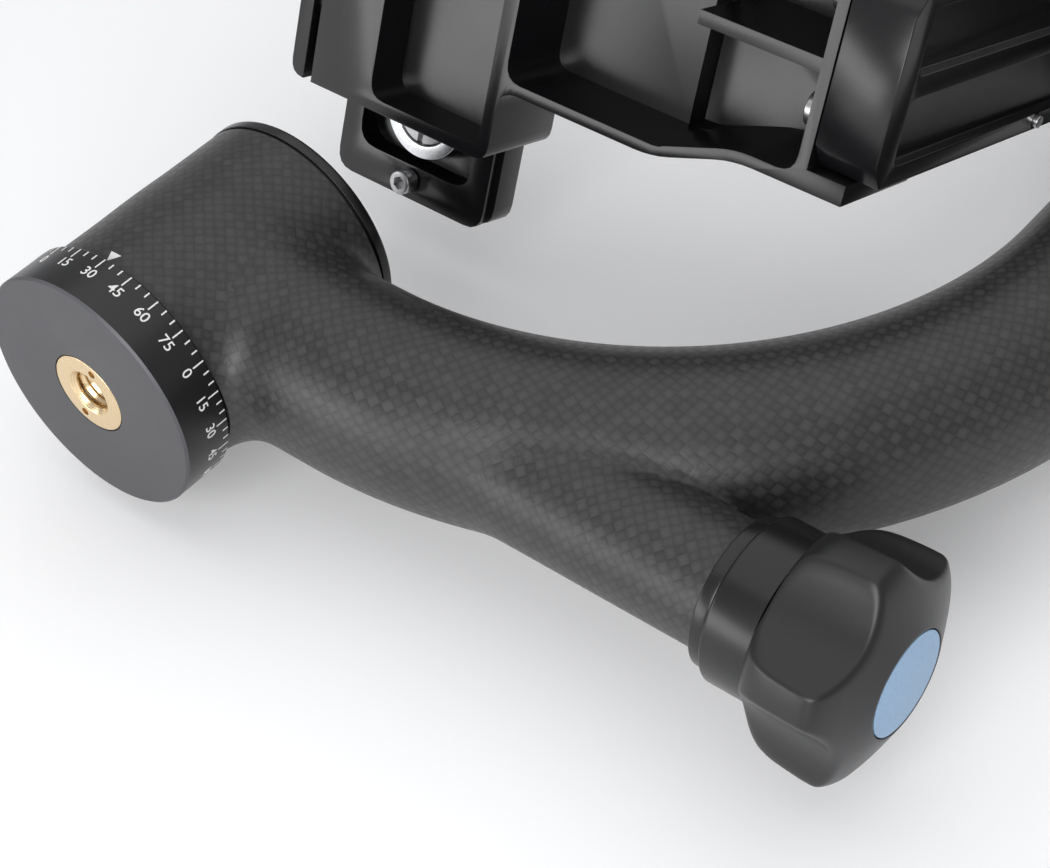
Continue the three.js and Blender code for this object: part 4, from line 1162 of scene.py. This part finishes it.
def grip_knob(node, place, at, lobes, flute, depth):
    radius, low, high = reach(node, place, at)
    rim = [(radius * out, low + (high - low) * up) for out, up in GRIP_RIM_SHARES]
    rim = evenly(smooth_chain(rim, 3), 0.4)
    top = rim[-1][0]
    dish = high - GRIP_DISH
    profile = [(0, dish), (top * DISH_FLOOR_SHARE, dish, 0.4), (top * DISH_LIP_SHARE, high, 0.4)]
    profile += [*rim[::-1], (SCREW_BORE, low), (SCREW_BORE, high - GRIP_ROOF), (0, high - GRIP_ROOF)]
    knob = spun(node + "_body", profile, PAN, 288, closed=False)
    scalloped(knob, 0.0, lobes, radius, flute, depth, GRIP_EDGE, top * GRIP_CORE_SHARE)
    knob.data.transform(shifted(place, *at))
    only(knob)
    bpy.ops.object.shade_smooth_by_angle(angle=SOFT_ANGLE)
    seated(knob, node)


LOCK_X = 118.5
CLAMP_DROP = 151.5
grip_knob("height_knob", CRADLE_BACK_Y, (LOCK_X, 0), 6, 4.5, 2.2)
grip_knob("clamp_knob", CRADLE_BACK_X, (-CLAMP_DROP, 0), 7, 3.6, 1.6)
print("two grip knobs")

# %% [markdown]
# ## The cradle
#
# Post, platform, carriage, jaw and lens plate are milled from bar. Their nodes already have the
# right faces, so each is copied, made whole and given small broken edges. A wider radius would look
# cast, and no radius would look like cardboard.

# %% Milled pieces
for node, width, segments in (
    ("post", 0.45, 3),
    ("platform", 0.5, 3),
    ("rail_carriage", 0.5, 3),
    ("clamp_jaw", 0.45, 3),
    ("lens_plate", 0.4, 3),
    ("grip_pad_1", 0.2, 2),
    ("grip_pad_2", 0.2, 2),
    ("carriage_gib", 0.2, 2),
):
    piece = milled(node, width, segments)
    print(node, len(piece.data.polygons), "faces")

# %% [markdown]
# ## Screws and pins
#
# Socket screws get their hexagon, and every turned end gets a small broken edge.

# %% Screws and pins


def socket_screw(node, place, at, head_height, shank_radius):
    """A screw with a hexagon socket half as deep as its head."""
    radius, low, high = reach(node, place, at)
    where = shifted(place, *at)
    shoulder = high - head_height
    points = [
        (0, low),
        (shank_radius, low, 0.4),
        (shank_radius, shoulder),
        (radius, shoulder, 0.15),
        (radius, high, 0.5),
        (0, high),
    ]
    screw = spun(node + "_body", points, where, 64, closed=False)
    floor = high - head_height / 2
    cut_with(screw, cylinder(radius / math.sqrt(3), floor, high + OVERRUN, where, 6))
    close_up(screw)
    seated(screw, node)


POST_SCREW_DROP = 146.5
PLATE_CENTRE = -1.5
STOP_PIN_SIDE = 19.7
for i, side in enumerate((-13, 13)):
    socket_screw(f"post_screw_{i + 1}", CRADLE_BACK_X, (-POST_SCREW_DROP, side), 5, 2.5)
for i, along in enumerate((71.8, -68.4)):
    socket_screw(f"stop_screw_{i + 1}", CRADLE_DOWN, (PLATE_CENTRE, -along), 4, 2)
for i, side in enumerate((-34, 34)):
    ring_like(f"jaw_pin_{i + 1}", CRADLE_X, 0, 0.5, (CLAMP_DROP, side))
for name, up in (("height_stop_upper", 28.6), ("height_stop_lower", -80)):
    ring_like(name, CRADLE_X, 0, 0.3, (-up, STOP_PIN_SIDE))
ring_like("clamp_screw", CRADLE_X, 0, 0.4, (CLAMP_DROP, 0))
ring_like("height_lock_screw", CRADLE_BACK_Y, 0, 0.4, (LOCK_X, 0))

CAMERA_SCREW_AT = (PLATE_CENTRE, 54.3)
ring_like("screw_ring", CRADLE, 8.3, 0.4, CAMERA_SCREW_AT)
ring_like("screw_carrier", CRADLE, 3.4, 0.15, CAMERA_SCREW_AT)
CAMERA_SHANK = 3.1
CAMERA_HEAD = 3.6
CAMERA_SLOT = 1.6
THREAD_FROM, THREAD_SPARE = 1.2, 1.3
CAMERA_PITCH = 1.27
RIDGE_HALF = 0.63
RIDGE_DEPTH = 0.5

radius, low, high = reach("camera_screw", CRADLE, CAMERA_SCREW_AT)
shoulder = low + CAMERA_HEAD
points = [(0, low), (radius, low, 0.5), (radius, shoulder, 0.2), (CAMERA_SHANK, shoulder)]
ridge = shoulder + THREAD_FROM
while ridge < high - THREAD_SPARE:
    points += [(CAMERA_SHANK, ridge), (CAMERA_SHANK - RIDGE_DEPTH, ridge + RIDGE_HALF)]
    ridge += CAMERA_PITCH
points += [(CAMERA_SHANK, ridge), (CAMERA_SHANK, high, 0.6), (0, high)]
where = shifted(CRADLE, *CAMERA_SCREW_AT)
screw = spun("camera_screw_body", points, where, 96, closed=False)
bpy.ops.mesh.primitive_cube_add(size=1)
tool = bpy.context.active_object
tool.data.transform(
    where
    @ Matrix.Translation((0, 0, low * MM))
    @ Matrix.Diagonal((CAMERA_SLOT * MM, 20 * MM, 2 * CAMERA_SLOT * MM, 1))
)
cut_with(screw, tool)
close_up(screw)
seated(screw, "camera_screw")
print("screws and pins")

# %% [markdown]
# ## The tilt axle
#
# The axle is one turned piece: a flange that is screwed to the carriage, a journal that runs in the
# hub, and a thinner end for the nut. Three counterbored holes in the flange take its screws.

# %% Tilt axle
AXLE_SCREWS = 3
FIRST_AXLE_SCREW = math.radians(45)
AXLE_SCREW_CIRCLE = 13.2
AXLE_HOLE = 1.8
COUNTERBORE = 2.9
COUNTERBORE_DEPTH = 2.7
AXLE_FLANGE = 4.2
JOURNAL_RADIUS = 8.5
THREAD_RADIUS = 6.0
NUT_SPACE = 5.2
axle_radius, axle_low, axle_high = reach("tilt_axle", CRADLE_X)
flange_top = axle_low + AXLE_FLANGE
journal_top = axle_high - NUT_SPACE
axle = spun(
    "tilt_axle_body",
    [
        (0, axle_low),
        (axle_radius, axle_low, 0.3),
        (axle_radius, flange_top, 0.5),
        (JOURNAL_RADIUS, flange_top),
        (JOURNAL_RADIUS, journal_top, 0.3),
        (THREAD_RADIUS, journal_top),
        (THREAD_RADIUS, axle_high, 0.6),
        (0, axle_high),
    ],
    CRADLE_X,
    128,
    closed=False,
)
top = flange_top + OVERRUN
for i in range(AXLE_SCREWS):
    angle = FIRST_AXLE_SCREW + i * 2 * math.pi / AXLE_SCREWS
    x, y = AXLE_SCREW_CIRCLE * math.cos(angle), AXLE_SCREW_CIRCLE * math.sin(angle)
    hole = shifted(CRADLE_X, x, y)
    cut_with(axle, cylinder(AXLE_HOLE, axle_low - OVERRUN, top, hole, 24))
    cut_with(axle, cylinder(COUNTERBORE, flange_top - COUNTERBORE_DEPTH, top, hole, 24))
close_up(axle)
seated(axle, "tilt_axle")
print("tilt axle with", AXLE_SCREWS, "screw holes")

# %% [markdown]
# ## Floor and lamps
#
# The head lies in front of a plain pale floor in soft light. The floor is a plane that shows on one
# side only, so a camera behind it sees through it. A little glow, which only the camera and
# reflections see, keeps it an even pale grey without lighting the head. Three wide lamps at a plain
# level and a dim sky put soft edges on the black parts.

# %% Floor
STAGE_Y = 37.5
STAGE_SIZE = 6.0
STAGE_GLOW = 0.15


def stage_material():
    """A pale matt finish with a faint glow on its front, and nothing on its back."""
    made = finish("stage", (0.86, 0.86, 0.87), 0.6)
    clear = add_node(made, "ShaderNodeBsdfTransparent")
    side = add_node(made, "ShaderNodeNewGeometry")
    ray = add_node(made, "ShaderNodeLightPath")
    seen = math_node(made, "MAXIMUM", ray.outputs["Is Camera Ray"], ray.outputs["Is Glossy Ray"])
    seen = math_node(made, "MAXIMUM", seen, ray.outputs["Is Transmission Ray"])
    glow = add_node(made, "ShaderNodeEmission")
    wire(made, math_node(made, "MULTIPLY", seen, STAGE_GLOW), glow.inputs["Strength"])
    lit = add_node(made, "ShaderNodeAddShader")
    wire(made, shader_of(made).outputs["BSDF"], lit.inputs[0])
    wire(made, glow.outputs["Emission"], lit.inputs[1])
    mix = add_node(made, "ShaderNodeMixShader")
    wire(made, side.outputs["Backfacing"], mix.inputs["Fac"])
    wire(made, lit.outputs["Shader"], mix.inputs[1])
    wire(made, clear.outputs["BSDF"], mix.inputs[2])
    end = made.node_tree.nodes["Material Output"]
    wire(made, mix.outputs["Shader"], end.inputs["Surface"])
    return made


bpy.ops.mesh.primitive_plane_add(size=STAGE_SIZE)
floor = bpy.context.active_object
floor.name = "floor"
floor.data.transform(
    Matrix.Translation((0, STAGE_Y * MM, 0)) @ Matrix.Rotation(math.pi / 2, 4, "X")
)
floor.data.materials.append(stage_material())
print("floor", STAGE_SIZE, "m wide")

# %% Lamps
SKY_COLOR = (0.97, 0.98, 1, 1)
SKY_LEVEL = 0.45
world = bpy.data.worlds.new("studio")
bpy.context.scene.world = world
world.use_nodes = True
sky = world.node_tree.nodes["Background"]
sky.inputs["Color"].default_value = SKY_COLOR
sky.inputs["Strength"].default_value = SKY_LEVEL


def soft_box(name, place, aim, size, power):
    """A rectangular lamp, turned towards its aim."""
    light = bpy.data.lights.new(name, "AREA")
    light.shape = "RECTANGLE"
    light.size, light.size_y = size
    light.energy = power
    lamp = placed(name, light)
    lamp.location = place
    direction = Vector(aim) - Vector(place)
    lamp.rotation_mode = "QUATERNION"
    lamp.rotation_quaternion = direction.to_track_quat("-Z", "Y")


soft_box("overhead", (0.0, -0.8, 0.2), (0.06, 0.0, 0.10), (1.2, 1.2), 3.0)
soft_box("front", (0.40, -0.5, -0.8), (0.1, 0.0, 0.08), (0.8, 0.45), 6.6)
soft_box("left", (-0.45, -0.16, -0.8), (0.05, -0.05, 0.12), (0.3, 0.8), 3.2)
print(len(bpy.data.lights), "lamps")
